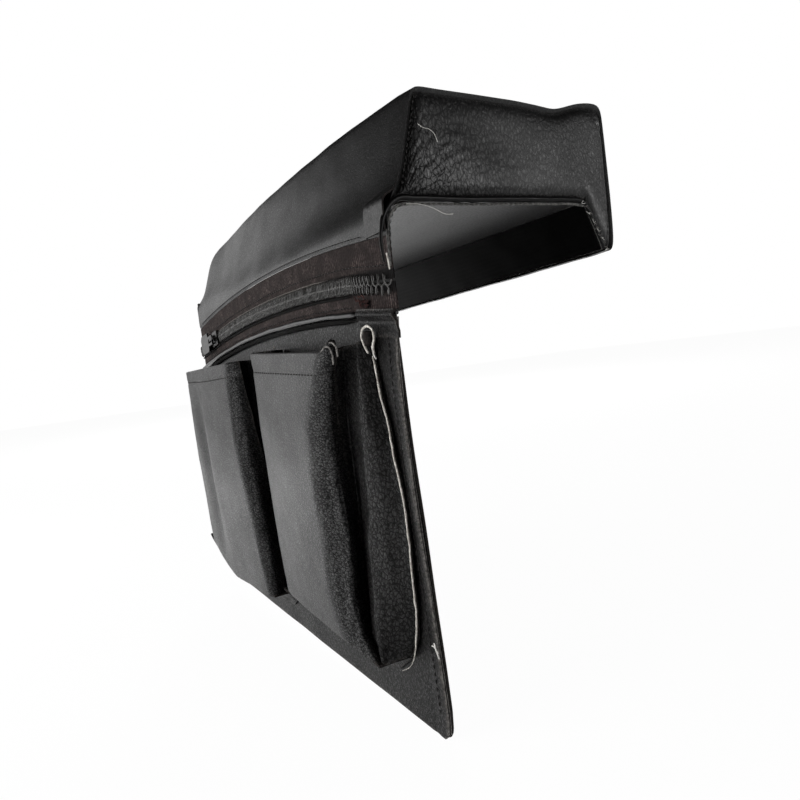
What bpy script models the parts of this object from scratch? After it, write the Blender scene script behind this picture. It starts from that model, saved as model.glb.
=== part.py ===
"""Padded armrest cover with a hanging organizer panel: a zip pocket and two gusseted pockets.

Metres, +Z up. The origin is the middle of the pad's underside. The panel hangs on the -X side,
the short flap on the +X side, and the sewn end panel is at -Y.
"""
import math

import bmesh
import bpy
from mathutils import Vector

# Sheet thicknesses and the gap that neighbours keep
LEATHER = 0.0010
LINING = 0.0008
TAPE = 0.0005
CLEARANCE = 0.0003

# Padded cover: the width runs from the panel's outer layer to the far flap
COVER_LENGTH = 0.295
COVER_WIDTH = 0.122
PAD_HEIGHT = 0.0453
SIDE_LEAN = 0.019
FLAP_THICKNESS = 0.017
FLAP_DROP = 0.024
FLAP_DEEPENING = 0.005
NOSE_LENGTH = 0.038
NOSE_LEAN_SHARE = 0.6
SEAM_RADIUS = 0.0008
LINING_CURL = 0.0074
LINING_CURL_DROP = 0.0019
TAB_LENGTH = 0.020

# Fold line between the cover and the hanging panel
FOLD_DROP = 0.0045
FOLD_GAP = 0.0014

# Hanging panel
PANEL_HEIGHT = 0.210
PANEL_BOTTOM_RISE = 0.0085
ZIP_POCKET_DEPTH = 0.0011
SEAM_ALLOWANCE = 0.008

# Zip, on arcs round one centre: heights are measured from the middle of the chain
CHAIN_RADIUS = 1.150
CHAIN_DROP = 0.0186
CHAIN_PEAK_SHARE = 0.424
UPPER_TAPE_HEIGHT = 0.0171
LOWER_TAPE_HEIGHT = 0.0111
COIL_WIDTH = 0.0030
COIL_HEIGHT = 0.0018
COIL_PITCH = 0.0030
SLOT_WIDTH = 0.0012
ROLL_RADIUS = 0.0012
END_PATCH_LENGTH = 0.0325
END_PATCH_GAP = 0.0016

# Zip slider and its pull tab
SLIDER_MARGIN = 0.047
SLIDER_LENGTH = 0.0120
SLIDER_PLATE = 0.0012
SLIDER_BACK = 0.0005
SLIDER_POST = 0.0006
SLIDER_LIP = 0.0008
BRIDGE_LENGTH = 0.0090
BRIDGE_BAR = 0.0010
BRIDGE_WIDTH = 0.0020
TAB_THICKNESS = 0.0012
TAB_WIDTH = 0.0130
TAB_REACH = 0.0275
TAB_ARM = 0.0016
TAB_CORNER = 0.0025

# Pockets
NEAR_EDGE_MARGIN = 0.027
FAR_EDGE_MARGIN = 0.013
POCKET_SPACING = 0.029
NEAR_POCKET_SHARE = 0.458
NEAR_POCKET_FLARE = 0.010
STANDOFF_TOP = 0.0195
STANDOFF_BOTTOM = 0.0170
POCKET_RETURN = 0.006
POCKET_CROWN = 0.0025
HEM_HEIGHT = 0.0095
GUSSET_TUCK = 0.011
WIDE_FLANGE = 0.015
SIDE_FLANGE = 0.009
BOTTOM_FLANGE = 0.0045
GUSSET_DROP = 0.0090
NEAR_POCKET_DROPS = (0.0135, 0.0112)
NEAR_POCKET_MARGINS = (0.0298, 0.0344)
FAR_POCKET_DROPS = (0.0130, 0.0032)
FAR_POCKET_MARGINS = (0.024, 0.0145)
FAR_CORNER_LIFT = 0.022
FAR_CORNER_SHARE = 0.5
FAR_CORNER_POWER = 1.4

# Outline of the cover's section, as shares: across the lean and the pad's height up the side,
# across the top and the pad's height, then across the flap's thickness and up or down it
SIDE_SHARES = (
    (0.02, 0.013), (0.115, 0.043), (0.25, 0.072), (0.37, 0.128), (0.45, 0.21),
    (0.63, 0.47), (0.81, 0.745), (0.937, 0.936), (0.984, 0.983),
)
TOP_SHARES = (
    (0.016, 1.0), (0.14, 0.986), (0.337, 0.973), (0.599, 0.951), (0.744, 0.926),
    (0.849, 0.901), (0.919, 0.932), (1.0, 0.975),
)
FLAP_TOP_SHARES = (
    (0.41, 0.997), (0.84, 0.997), (0.965, 0.97), (1.0, 0.91), (1.01, 0.664), (1.01, 0.265),
)
FLAP_DROP_SHARES = (
    (1.0, 0.11), (0.98, 0.52), (0.93, 0.85), (0.84, 0.974), (0.706, 1.0), (0.553, 0.955),
)
FLAP_FOOT_SHARE = 0.5
CORNER_POINTS = 5

# Lining's curl at the fold, as shares of its length and drop
CURL_SHARES = ((0.5, 1.0), (0.75, 0.5), (1.2, 0.125), (1.5, 0.0))

# Near edge of the panel, which is cut in below the zip and flares at the bottom: share of the
# way down, and share of the greatest inset
EDGE_INSET = 0.0065
EDGE_SHARES = (
    (0.0, 0.35), (0.1, 0.85), (0.22, 1.0), (0.42, 0.87), (0.65, 0.6), (0.85, 0.35),
    (0.94, 0.25), (0.985, 0.4), (1.0, 0.75),
)

# Lengthwise crown of the cover and its rounded far end
CROWN_SHARE = 0.07
CROWN_PEAK_SHARE = 0.346
NOSE_POWER = 3.6
NOSE_ANGLES = (18, 36, 52, 66, 78, 86, 89.2)
FOAM_NOSE_STEPS = 4
BODY_STEPS = 9
ARC_STEPS = 16
BOTTOM_STEPS = 16

# Soft shapes of the pockets, as shares of the pocket's width and height
FRONT_COLUMN_SHARES = (0.09, 0.2, 0.32, 0.44, 0.56, 0.68, 0.8, 0.91)
FRONT_ROW_SHARES = (0.0, 0.08, 0.2, 0.34, 0.48, 0.62, 0.76, 0.9, 1.0)
FRONT_CORNER_SHARES = ((1.0, 0.0), (0.3, 0.05), (0.07, 0.3), (0.0, 0.75))
GUSSET_ROW_SHARES = (0.0, 0.15, 0.35, 0.55, 0.75, 0.9, 1.0)
FLANGE_BOW_SHARES = (0.06, 0.62, 1.0, 0.95, 0.7, 0.35, 0.08)
FAR_CREASE_SHARE = 0.62
CREASE_DEPTH = 0.0030
CREASE_WIDTH = 0.016

# Looks: colour, roughness, metallic
LEATHER_LOOK = ((0.016, 0.016, 0.017), 0.5, 0.0)
TAPE_LOOK = ((0.028, 0.020, 0.019), 0.9, 0.0)
COIL_LOOK = ((0.012, 0.012, 0.013), 0.3, 0.0)
LINING_LOOK = ((0.045, 0.045, 0.047), 0.4, 0.0)
FOAM_LOOK = ((0.30, 0.30, 0.29), 0.95, 0.0)
SLIDER_LOOK = ((0.02, 0.02, 0.022), 0.3, 0.6)

# Angles of shading, of the fold's rounding and of the tightest mitre
SHARP_ANGLE = math.radians(35)
FOLD_ANGLES = tuple(math.radians(angle) for angle in (-45, 0, 45))
MITRE_LIMIT = 0.25

# Places that the named sizes give
HALF_LENGTH = COVER_LENGTH / 2
NEAR_Y = -HALF_LENGTH
PANEL_X = -COVER_WIDTH / 2
FLAP_X = COVER_WIDTH / 2 - FLAP_THICKNESS
FOLD_Z = -FOLD_DROP
OUTER_FACE_X = PANEL_X - LEATHER / 2
INNER_FACE_X = PANEL_X + LEATHER / 2
BACK_FACE_X = INNER_FACE_X + ZIP_POCKET_DEPTH
CHAIN_Z = FOLD_Z - CHAIN_DROP
CHAIN_CENTRE_Z = CHAIN_Z - CHAIN_RADIUS
ROLL_OFFSET = -(LOWER_TAPE_HEIGHT + CLEARANCE + ROLL_RADIUS)
SEAM_LIFT = 2 * (SEAM_RADIUS + CLEARANCE)
CHAIN_PEAK_Y = NEAR_Y + CHAIN_PEAK_SHARE * COVER_LENGTH
SLIDER_START_Y = HALF_LENGTH - SLIDER_MARGIN
POCKET_SPACE = COVER_LENGTH - NEAR_EDGE_MARGIN - FAR_EDGE_MARGIN - POCKET_SPACING


def clear_scene():
    for old in list(bpy.data.objects):
        bpy.data.objects.remove(old, do_unlink=True)


def material_for(name, look):
    colour, roughness, metallic = look
    material = bpy.data.materials.new(name + "_material")
    material.use_nodes = True
    shader = material.node_tree.nodes["Principled BSDF"]
    shader.inputs["Base Color"].default_value = (*colour, 1.0)
    shader.inputs["Roughness"].default_value = roughness
    shader.inputs["Metallic"].default_value = metallic
    material.diffuse_color = (*colour, 1.0)
    return material


def pivot(name, location, parent=None):
    """An empty on a joint's axis."""
    empty = bpy.data.objects.new(name, None)
    bpy.context.collection.objects.link(empty)
    empty.parent = parent
    base = Vector((0, 0, 0)) if parent is None else world_place(parent)
    empty.location = Vector(location) - base
    return empty


def world_place(empty):
    place = Vector(empty.location)
    while empty.parent is not None:
        empty = empty.parent
        place += Vector(empty.location)
    return place


def add_solid(name, points, faces, look, carrier):
    """One closed body from world points, with its origin at its carrier's."""
    origin = world_place(carrier)
    shape = bmesh.new()
    vertices = [shape.verts.new(Vector(point) - origin) for point in points]
    for face in faces:
        shape.faces.new([vertices[index] for index in face])
    bmesh.ops.recalc_face_normals(shape, faces=shape.faces)
    mesh = bpy.data.meshes.new(name)
    shape.to_mesh(mesh)
    shape.free()
    mesh.shade_smooth()
    mesh.set_sharp_from_angle(angle=SHARP_ANGLE)
    solid = bpy.data.objects.new(name, mesh)
    bpy.context.collection.objects.link(solid)
    solid.parent = carrier
    solid.data.materials.append(material_for(name, look))
    return solid


def add_sheet(name, front_rows, back_rows, look, carrier):
    """A sheet between two grids of points with the same rows and columns."""
    rows = len(front_rows)
    columns = len(front_rows[0])
    points = [point for row in front_rows for point in row]
    points += [point for row in back_rows for point in row]
    back = rows * columns
    faces = []
    for row in range(rows - 1):
        for column in range(columns - 1):
            corner = row * columns + column
            quad = [corner, corner + 1, corner + columns + 1, corner + columns]
            faces.append(quad)
            faces.append([back + index for index in reversed(quad)])
    border = [column for column in range(columns)]
    border += [row * columns + columns - 1 for row in range(1, rows)]
    border += [(rows - 1) * columns + column for column in range(columns - 2, -1, -1)]
    border += [row * columns for row in range(rows - 2, 0, -1)]
    for here, there in zip(border, border[1:] + border[:1]):
        faces.append([there, here, back + here, back + there])
    return add_solid(name, points, faces, look, carrier)


def add_loft(name, loops, look, carrier):
    """A body through closed loops of points, with a flat face at each end."""
    count = len(loops[0])
    points = [point for loop in loops for point in loop]
    last = (len(loops) - 1) * count
    faces = [list(range(count)), [last + index for index in reversed(range(count))]]
    for step in range(len(loops) - 1):
        for index in range(count):
            following = (index + 1) % count
            low = step * count
            high = low + count
            faces.append([low + index, low + following, high + following, high + index])
    return add_solid(name, points, faces, look, carrier)


def add_tube(name, route, radius, look, carrier):
    """A round bar along a route, with filled ends."""
    origin = world_place(carrier)
    curve = bpy.data.curves.new(name, "CURVE")
    curve.dimensions = "3D"
    curve.bevel_depth = radius
    curve.bevel_resolution = 1
    curve.use_fill_caps = True
    spline = curve.splines.new("POLY")
    spline.points.add(len(route) - 1)
    for knot, point in zip(spline.points, route):
        knot.co = (*(Vector(point) - origin), 1.0)
    tube = bpy.data.objects.new(name, curve)
    bpy.context.collection.objects.link(tube)
    tube.parent = carrier
    curve.materials.append(material_for(name, look))
    return tube


def offset_outline(outline, distance):
    """An open outline moved to its right-hand side, mitred at its corners."""
    moved = []
    for index, (across, up) in enumerate(outline):
        before = outline[max(index - 1, 0)]
        after = outline[min(index + 1, len(outline) - 1)]
        first = side_of(before, (across, up)) if index else side_of((across, up), after)
        last = side_of((across, up), after) if index < len(outline) - 1 else first
        middle = ((first[0] + last[0]) / 2, (first[1] + last[1]) / 2)
        square = max(middle[0] ** 2 + middle[1] ** 2, MITRE_LIMIT)
        moved.append((across + middle[0] / square * distance, up + middle[1] / square * distance))
    return moved


def side_of(start, end):
    """The unit vector to the right of a step."""
    run = end[0] - start[0]
    rise = end[1] - start[1]
    length = math.hypot(run, rise)
    return (rise / length, -run / length)


def spread(start, end, steps):
    return [start + (end - start) * step / steps for step in range(steps + 1)]


def crown_at(y):
    """Height of the cover at a station, as a share of the pad's height at the sewn end."""
    peak = NEAR_Y + CROWN_PEAK_SHARE * COVER_LENGTH
    reach = (y - peak) / (CROWN_PEAK_SHARE * COVER_LENGTH)
    return 1 + CROWN_SHARE * (1 - reach ** 2)


class Section:
    """The cover's section at one station: its height, the lean of its side and the flap's drop."""

    def __init__(self, y, rise, lean):
        self.y = y
        self.rise = rise
        self.lean = lean
        self.drop = FLAP_DROP + FLAP_DEEPENING * (y - NEAR_Y) / COVER_LENGTH


def cover_sections(inset, nose_steps, start):
    """Sections along the cover, with the far end rounded off."""
    nose_start = HALF_LENGTH - NOSE_LENGTH
    sections = []
    for y in spread(start, nose_start, BODY_STEPS):
        sections.append(Section(y, crown_at(y), SIDE_LEAN))
    for angle in NOSE_ANGLES[:nose_steps]:
        reach = math.sin(math.radians(angle)) ** (2 / NOSE_POWER)
        height = math.cos(math.radians(angle)) ** (2 / NOSE_POWER)
        rise = crown_at(nose_start + NOSE_LENGTH * reach) * height
        lean = SIDE_LEAN * (1 - (1 - NOSE_LEAN_SHARE) * reach ** 2)
        sections.append(Section(nose_start + (NOSE_LENGTH - inset) * reach, rise, lean))
    return sections


def end_section(y):
    """The full section at a station before the nose."""
    return Section(y, crown_at(y), SIDE_LEAN)


def side_outline(section):
    """The cover's outer face from the fold up to the top corner, at one station."""
    outline = [(OUTER_FACE_X, FOLD_Z + FOLD_GAP)]
    for across, up in SIDE_SHARES:
        outline.append((OUTER_FACE_X + across * section.lean, up * PAD_HEIGHT * section.rise))
    return outline


def top_outline(section):
    top_x = PANEL_X + section.lean
    outline = []
    for across, up in TOP_SHARES:
        outline.append((top_x + across * (FLAP_X - top_x), up * PAD_HEIGHT * section.rise))
    return outline


def flap_outline(section):
    outline = []
    for across, up in FLAP_TOP_SHARES:
        outline.append((FLAP_X + across * FLAP_THICKNESS, up * PAD_HEIGHT * section.rise))
    for across, down in FLAP_DROP_SHARES:
        outline.append((FLAP_X + across * FLAP_THICKNESS, -down * section.drop))
    return outline


def cover_outline(section, inset=0):
    """The whole outline from the fold to the flap's foot, moved inwards by inset."""
    outline = side_outline(section) + top_outline(section) + flap_outline(section)
    return offset_outline(outline, inset)


def flap_inner_face(section, inset):
    """The flap's inner face from its foot to the ceiling, moved into the flap by inset."""
    foot_x = FLAP_X + FLAP_FOOT_SHARE * FLAP_THICKNESS
    foot = (foot_x, -section.drop + 2 * LEATHER + CLEARANCE)
    return offset_outline([foot, (FLAP_X, -CLEARANCE)], inset)


def at_station(outline, y):
    return [(across, y, up) for across, up in outline]


def chain_angle(y):
    return math.asin((y - CHAIN_PEAK_Y) / CHAIN_RADIUS)


def arc_height(y, offset):
    """Height of the arc that runs at offset from the middle of the chain."""
    return CHAIN_CENTRE_Z + math.sqrt((CHAIN_RADIUS + offset) ** 2 - (y - CHAIN_PEAK_Y) ** 2)


def panel_bottom(y):
    share = (y - NEAR_Y) / COVER_LENGTH
    return FOLD_Z - PANEL_HEIGHT + share * PANEL_BOTTOM_RISE


def add_cover(cover):
    """Outer leather, sewn end, cushion, lining and the far flap."""
    side_count = len(SIDE_SHARES) + 1
    pad_count = side_count + len(TOP_SHARES)
    skin = cover_sections(0, len(NOSE_ANGLES), NEAR_Y)
    under_skin = cover_sections(LEATHER, len(NOSE_ANGLES), NEAR_Y)
    add_sheet(
        "top_cover",
        [at_station(cover_outline(section), section.y) for section in skin],
        [at_station(cover_outline(section, LEATHER), section.y) for section in under_skin],
        LEATHER_LOOK,
        cover,
    )
    inside = LEATHER + CLEARANCE
    foam_start = NEAR_Y + 2 * SEAM_RADIUS + CLEARANCE
    foam_bottom = LINING + CLEARANCE
    sections = cover_sections(inside, FOAM_NOSE_STEPS, foam_start)
    pad_loops = []
    flap_loops = []
    for section in sections:
        outline = cover_outline(section, inside)
        pad = outline[CORNER_POINTS:pad_count - 1]
        seam_height = outline[pad_count - 1][1]
        pad_edge = FLAP_X - CLEARANCE / 2
        pad_loop = [(pad[0][0], foam_bottom)] + pad
        pad_loop += [(pad_edge, seam_height), (pad_edge, foam_bottom)]
        pad_loops.append(at_station(pad_loop, section.y))
        flap_edge = FLAP_X + CLEARANCE / 2
        inner = flap_inner_face(section, LINING + CLEARANCE)
        flap = outline[pad_count:-1]
        flap_loop = [(flap_edge, seam_height)] + flap + inner + [(flap_edge, foam_bottom)]
        flap_loops.append(at_station(flap_loop, section.y))
    add_loft("pad_foam", pad_loops, FOAM_LOOK, cover)
    add_loft("flap_foam", flap_loops, FOAM_LOOK, cover)
    add_end_panel(cover, inside)
    add_linings(cover, sections[0], sections[-1])
    add_flap_cap(cover, inside, pad_count)
    add_corner_tab(cover)


def lining_curl(middle):
    """Outline of the lining's curled edge, whose flat part lies at the given height."""
    outline = []
    for across, down in CURL_SHARES:
        outline.append((PANEL_X + LINING_CURL * across, middle - LINING_CURL_DROP * down))
    return outline


def add_end_panel(cover, inside):
    """The sewn end, plugged into the outer leather, and the rolled seam along its lower edge."""
    section = end_section(NEAR_Y)
    outline = cover_outline(section, inside)
    inner = flap_inner_face(section, SEAM_LIFT)
    upper = outline[CORNER_POINTS - 1:-1]
    edge = upper + inner + [(FLAP_X + SEAM_LIFT, SEAM_LIFT), (upper[0][0], SEAM_LIFT)]
    add_loft(
        "end_panel",
        [at_station(edge, NEAR_Y), at_station(edge, NEAR_Y + LEATHER)],
        LEATHER_LOOK,
        cover,
    )
    centre = SEAM_LIFT / 2
    foot, ceiling = flap_inner_face(section, centre)
    route = lining_curl(centre) + [(FLAP_X - centre, centre), ceiling, foot]
    add_tube("end_seam", at_station(route, NEAR_Y + SEAM_RADIUS), SEAM_RADIUS, LEATHER_LOOK, cover)


def add_linings(cover, start, end):
    """Ceiling lining with its curled edge at the fold, and the flap's inner lining."""
    underside = lining_curl(0) + [(FLAP_X - CLEARANCE, 0)]
    upper = offset_outline(underside, -LINING)
    add_loft(
        "pad_lining",
        [at_station(underside + upper[::-1], section.y) for section in (start, end)],
        LINING_LOOK,
        cover,
    )
    loops = []
    for section in (start, end):
        face = flap_inner_face(section, 0)
        back = flap_inner_face(section, LINING)
        loops.append(at_station(face + back[::-1], section.y))
    add_loft("flap_lining", loops, LINING_LOOK, cover)


def add_flap_cap(cover, inside, pad_count):
    """The far end of the flap below the ceiling."""
    section = end_section(HALF_LENGTH)
    outline = cover_outline(section, inside)
    hanging = outline[pad_count + len(FLAP_TOP_SHARES):-1]
    inner = flap_inner_face(section, LINING + CLEARANCE)
    loop = hanging + [inner[0], (inner[1][0], hanging[0][1])]
    add_loft(
        "flap_end_cap",
        [at_station(loop, HALF_LENGTH - LEATHER), at_station(loop, HALF_LENGTH)],
        LEATHER_LOOK,
        cover,
    )


def add_corner_tab(cover):
    """The raw-cut patch that wraps the corner beside the sewn end."""
    front = []
    back = []
    for y in spread(NEAR_Y + CLEARANCE, NEAR_Y + TAB_LENGTH, 2):
        side = side_outline(end_section(y))[:CORNER_POINTS + 1]
        front.append(at_station(offset_outline(side, -(CLEARANCE + LINING)), y))
        back.append(at_station(offset_outline(side, -CLEARANCE), y))
    add_sheet("corner_tab", front, back, LEATHER_LOOK, cover)


def edge_inset(share):
    """How far the panel's near edge is cut in at a share of the way down."""
    for (above, first), (below, second) in zip(EDGE_SHARES, EDGE_SHARES[1:]):
        if share <= below:
            return EDGE_INSET * (first + (second - first) * (share - above) / (below - above))
    return EDGE_INSET * EDGE_SHARES[-1][1]


def add_strip(name, faces_x, edges, look, panel, stations):
    """A band of the panel between two faces, from an upper to a lower edge."""
    inner_x, outer_x = faces_x
    top, bottom = edges
    loops = []
    for y in stations:
        high = top(y)
        low = bottom(y)
        loop = [(outer_x, high), (inner_x, high), (inner_x, low), (outer_x, low)]
        loops.append(at_station(loop, y))
    add_loft(name, loops, look, panel)


def add_layer(name, faces_x, top, bent, panel, stations):
    """A layer of the panel down to its bottom edge, with the first stations' edge shaped."""
    grids = []
    for x in reversed(faces_x):
        rows = []
        for share, _ in EDGE_SHARES:
            row = []
            for index, y in enumerate(stations):
                place = y + (edge_inset(share) if index < bent else 0)
                row.append((x, place, top(y) + (panel_bottom(y) - top(y)) * share))
            rows.append(row)
        grids.append(rows)
    add_sheet(name, grids[0], grids[1], LEATHER_LOOK, panel)


def chain_arc(offset):
    """The height along an arc at an offset from the middle of the chain."""
    return lambda y: arc_height(y, offset)


def add_panel(panel):
    """The hanging panel's layers, from the fold down."""
    stations = spread(NEAR_Y, HALF_LENGTH, ARC_STEPS)
    ends = (NEAR_Y, HALF_LENGTH)
    fold_radius = LEATHER / 2
    fold = []
    for angle in FOLD_ANGLES:
        across = PANEL_X + fold_radius * math.sin(angle)
        fold.append((across, FOLD_Z + fold_radius * math.cos(angle)))
    band = []
    for y in stations:
        low = arc_height(y, UPPER_TAPE_HEIGHT)
        loop = [(OUTER_FACE_X, low), (OUTER_FACE_X, FOLD_Z)] + fold
        loop += [(INNER_FACE_X, FOLD_Z), (INNER_FACE_X, low)]
        band.append(at_station(loop, y))
    add_loft("upper_band", band, LEATHER_LOOK, panel)
    tape_faces = (INNER_FACE_X, INNER_FACE_X - TAPE)
    upper_edges = (chain_arc(UPPER_TAPE_HEIGHT - CLEARANCE), chain_arc(SLOT_WIDTH / 2))
    add_strip("upper_tape", tape_faces, upper_edges, TAPE_LOOK, panel, stations)
    lower_edges = (chain_arc(-SLOT_WIDTH / 2), chain_arc(-LOWER_TAPE_HEIGHT))
    add_strip("lower_tape", tape_faces, lower_edges, TAPE_LOOK, panel, stations)
    add_coil("upper_coil", 1, panel)
    add_coil("lower_coil", -1, panel)
    roll = [(PANEL_X - CLEARANCE, y, arc_height(y, ROLL_OFFSET)) for y in stations]
    add_tube("zip_roll", roll, ROLL_RADIUS, LEATHER_LOOK, panel)
    outer_top = chain_arc(ROLL_OFFSET - ROLL_RADIUS - CLEARANCE)
    add_layer("outer_panel", (INNER_FACE_X, OUTER_FACE_X), outer_top, 1, panel, stations)
    back_top = FOLD_Z - (LEATHER + ZIP_POCKET_DEPTH)
    back_faces = (BACK_FACE_X + LEATHER, BACK_FACE_X)
    add_layer("back_panel", back_faces, lambda y: back_top, 1, panel, ends)
    add_allowances(panel, outer_top)
    patch_x = OUTER_FACE_X - CLEARANCE - TAPE
    patch_top = -(SLOT_WIDTH / 2 + COIL_WIDTH + CLEARANCE + SLIDER_LIP + END_PATCH_GAP)
    patch_edges = (chain_arc(patch_top), chain_arc(ROLL_OFFSET + ROLL_RADIUS + CLEARANCE))
    patch_stations = spread(NEAR_Y, NEAR_Y + END_PATCH_LENGTH, 2)
    patch_faces = (patch_x + LEATHER, patch_x)
    add_strip("zip_end_patch", patch_faces, patch_edges, LEATHER_LOOK, panel, patch_stations)


def add_allowances(panel, top):
    """Seam allowances between the two layers, along the ends and the bottom."""
    faces_x = (BACK_FACE_X - CLEARANCE, INNER_FACE_X + CLEARANCE)
    near_places = (NEAR_Y, NEAR_Y + SEAM_ALLOWANCE)
    add_layer("near_allowance", faces_x, top, 2, panel, near_places)
    far_places = (HALF_LENGTH - SEAM_ALLOWANCE, HALF_LENGTH)
    add_strip("far_allowance", faces_x, (top, panel_bottom), LEATHER_LOOK, panel, far_places)
    deepest = max(edge_inset(share) for share, _ in EDGE_SHARES)
    start = NEAR_Y + deepest + SEAM_ALLOWANCE + CLEARANCE
    places = (start, HALF_LENGTH - SEAM_ALLOWANCE - CLEARANCE)
    edges = (lambda y: panel_bottom(y) + SEAM_ALLOWANCE, panel_bottom)
    add_strip("bottom_allowance", faces_x, edges, LEATHER_LOOK, panel, places)


def add_coil(name, side, panel):
    """One half of the zip's coil, as a ribbed bar along the chain's arc."""
    tape_face = INNER_FACE_X - TAPE
    base_x = tape_face - CLEARANCE
    low_x = base_x - COIL_HEIGHT / 2
    top_x = base_x - COIL_HEIGHT
    count = 2 * round((COVER_LENGTH - 2 * CLEARANCE) / COIL_PITCH)
    slot_edge = side * SLOT_WIDTH / 2
    outer_edge = side * (SLOT_WIDTH / 2 + COIL_WIDTH)
    loops = []
    for step, y in enumerate(spread(NEAR_Y + CLEARANCE, HALF_LENGTH - CLEARANCE, count)):
        face_x = top_x if step % 2 else low_x
        loops.append([
            (base_x, y, arc_height(y, slot_edge)),
            (face_x, y, arc_height(y, slot_edge)),
            (face_x, y, arc_height(y, outer_edge)),
            (base_x, y, arc_height(y, outer_edge)),
        ])
    add_loft(name, loops, COIL_LOOK, panel)


def chain_point(x, along, radial):
    """A point given across the panel, along the chain from the slider, and out from the chain."""
    angle = chain_angle(SLIDER_START_Y)
    reach = CHAIN_RADIUS + radial
    y = CHAIN_PEAK_Y + reach * math.sin(angle) + along * math.cos(angle)
    z = CHAIN_CENTRE_Z + reach * math.cos(angle) - along * math.sin(angle)
    return (x, y, z)


def add_slider(slider, pull):
    """Slider round the chain, its bridge, and the pull tab through it."""
    tape_face = INNER_FACE_X - TAPE
    coil_top = tape_face - CLEARANCE - COIL_HEIGHT
    back_inner = INNER_FACE_X + CLEARANCE + SLIDER_BACK
    back_outer = INNER_FACE_X + CLEARANCE
    plate_inner = coil_top - CLEARANCE
    plate_outer = plate_inner - SLIDER_PLATE
    lip_end = tape_face - CLEARANCE
    coil_edge = SLOT_WIDTH / 2 + COIL_WIDTH
    lip_inner = coil_edge + CLEARANCE
    lip_outer = lip_inner + SLIDER_LIP
    post = SLIDER_POST / 2
    half = [
        (back_inner, coil_edge), (back_outer, coil_edge), (back_outer, post), (plate_inner, post),
        (plate_inner, lip_inner), (lip_end, lip_inner), (lip_end, lip_outer), (plate_outer, lip_outer),
    ]
    profile = half + [(x, -radial) for x, radial in reversed(half)]
    ends = (-SLIDER_LENGTH / 2, SLIDER_LENGTH / 2)
    add_loft(
        "slider_body",
        [[chain_point(x, along, radial) for x, radial in profile] for along in ends],
        SLIDER_LOOK,
        slider,
    )
    foot_x = plate_outer - CLEARANCE
    bar_inner = foot_x - TAB_THICKNESS - 2 * CLEARANCE
    bar_outer = bar_inner - BRIDGE_BAR
    reach = BRIDGE_LENGTH / 2
    inner_reach = reach - BRIDGE_BAR
    arch = [
        (foot_x, -reach), (bar_outer + BRIDGE_BAR / 2, -reach), (bar_outer, -inner_reach),
        (bar_outer, inner_reach), (bar_outer + BRIDGE_BAR / 2, reach), (foot_x, reach),
        (foot_x, inner_reach), (bar_inner, inner_reach), (bar_inner, -inner_reach),
        (foot_x, -inner_reach),
    ]
    loops = []
    for side in (-BRIDGE_WIDTH / 2, BRIDGE_WIDTH / 2):
        loops.append([chain_point(x, along, side) for x, along in arch])
    add_loft("slider_bridge", loops, SLIDER_LOOK, slider)
    add_pull_tab(pull, bar_outer)


def pull_axis():
    """Place of the pull tab's crossbar: across the panel, and along the chain from the slider."""
    coil_top = INNER_FACE_X - TAPE - CLEARANCE - COIL_HEIGHT
    plate_outer = coil_top - CLEARANCE - SLIDER_PLATE
    x = plate_outer - 2 * CLEARANCE - TAB_THICKNESS / 2
    along = BRIDGE_LENGTH / 2 - BRIDGE_BAR - TAB_THICKNESS / 2 - 2 * CLEARANCE
    return x, along


def add_pull_tab(pull, bar_outer):
    """A flat tab with a slot at one end, whose crossbar runs under the bridge."""
    x, along = pull_axis()
    slot_half = BRIDGE_WIDTH / 2 + 2 * CLEARANCE
    arm_half = slot_half + TAB_ARM
    bar = TAB_THICKNESS / 2
    near_corner = BRIDGE_LENGTH / 2 + along
    slot_end = math.hypot(near_corner, bar_outer - x) + TAB_THICKNESS
    wide_start = slot_end + TAB_ARM
    half_width = TAB_WIDTH / 2
    outline = [
        (-bar, -arm_half), (slot_end, -arm_half), (wide_start, -half_width),
        (TAB_REACH - TAB_CORNER, -half_width), (TAB_REACH, TAB_CORNER - half_width),
        (TAB_REACH, half_width - TAB_CORNER), (TAB_REACH - TAB_CORNER, half_width),
        (wide_start, half_width), (slot_end, arm_half), (-bar, arm_half),
    ]
    hole = [(bar, -slot_half), (slot_end, -slot_half), (slot_end, slot_half), (bar, slot_half)]
    points = []
    for face_x in (x + bar, x - bar):
        points += [chain_point(face_x, along + reach, side) for reach, side in outline]
        points += [chain_point(face_x, along + reach, side) for reach, side in hole]
    count = len(outline)
    layer = count + len(hole)
    first_hole = count
    top = [
        [0, 1, first_hole + 1, first_hole],
        [1, 8, first_hole + 2, first_hole + 1],
        [8, 9, first_hole + 3, first_hole + 2],
        [9, 0, first_hole, first_hole + 3],
        [1, 2, 3, 4, 5, 6, 7, 8],
    ]
    faces = list(top)
    faces += [[layer + index for index in reversed(face)] for face in top]
    for index in range(count):
        following = (index + 1) % count
        faces.append([index, following, layer + following, layer + index])
    for index in range(len(hole)):
        here = first_hole + index
        there = first_hole + (index + 1) % len(hole)
        faces.append([there, here, layer + here, layer + there])
    add_solid("pull_tab", points, faces, LEATHER_LOOK, pull)


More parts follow.
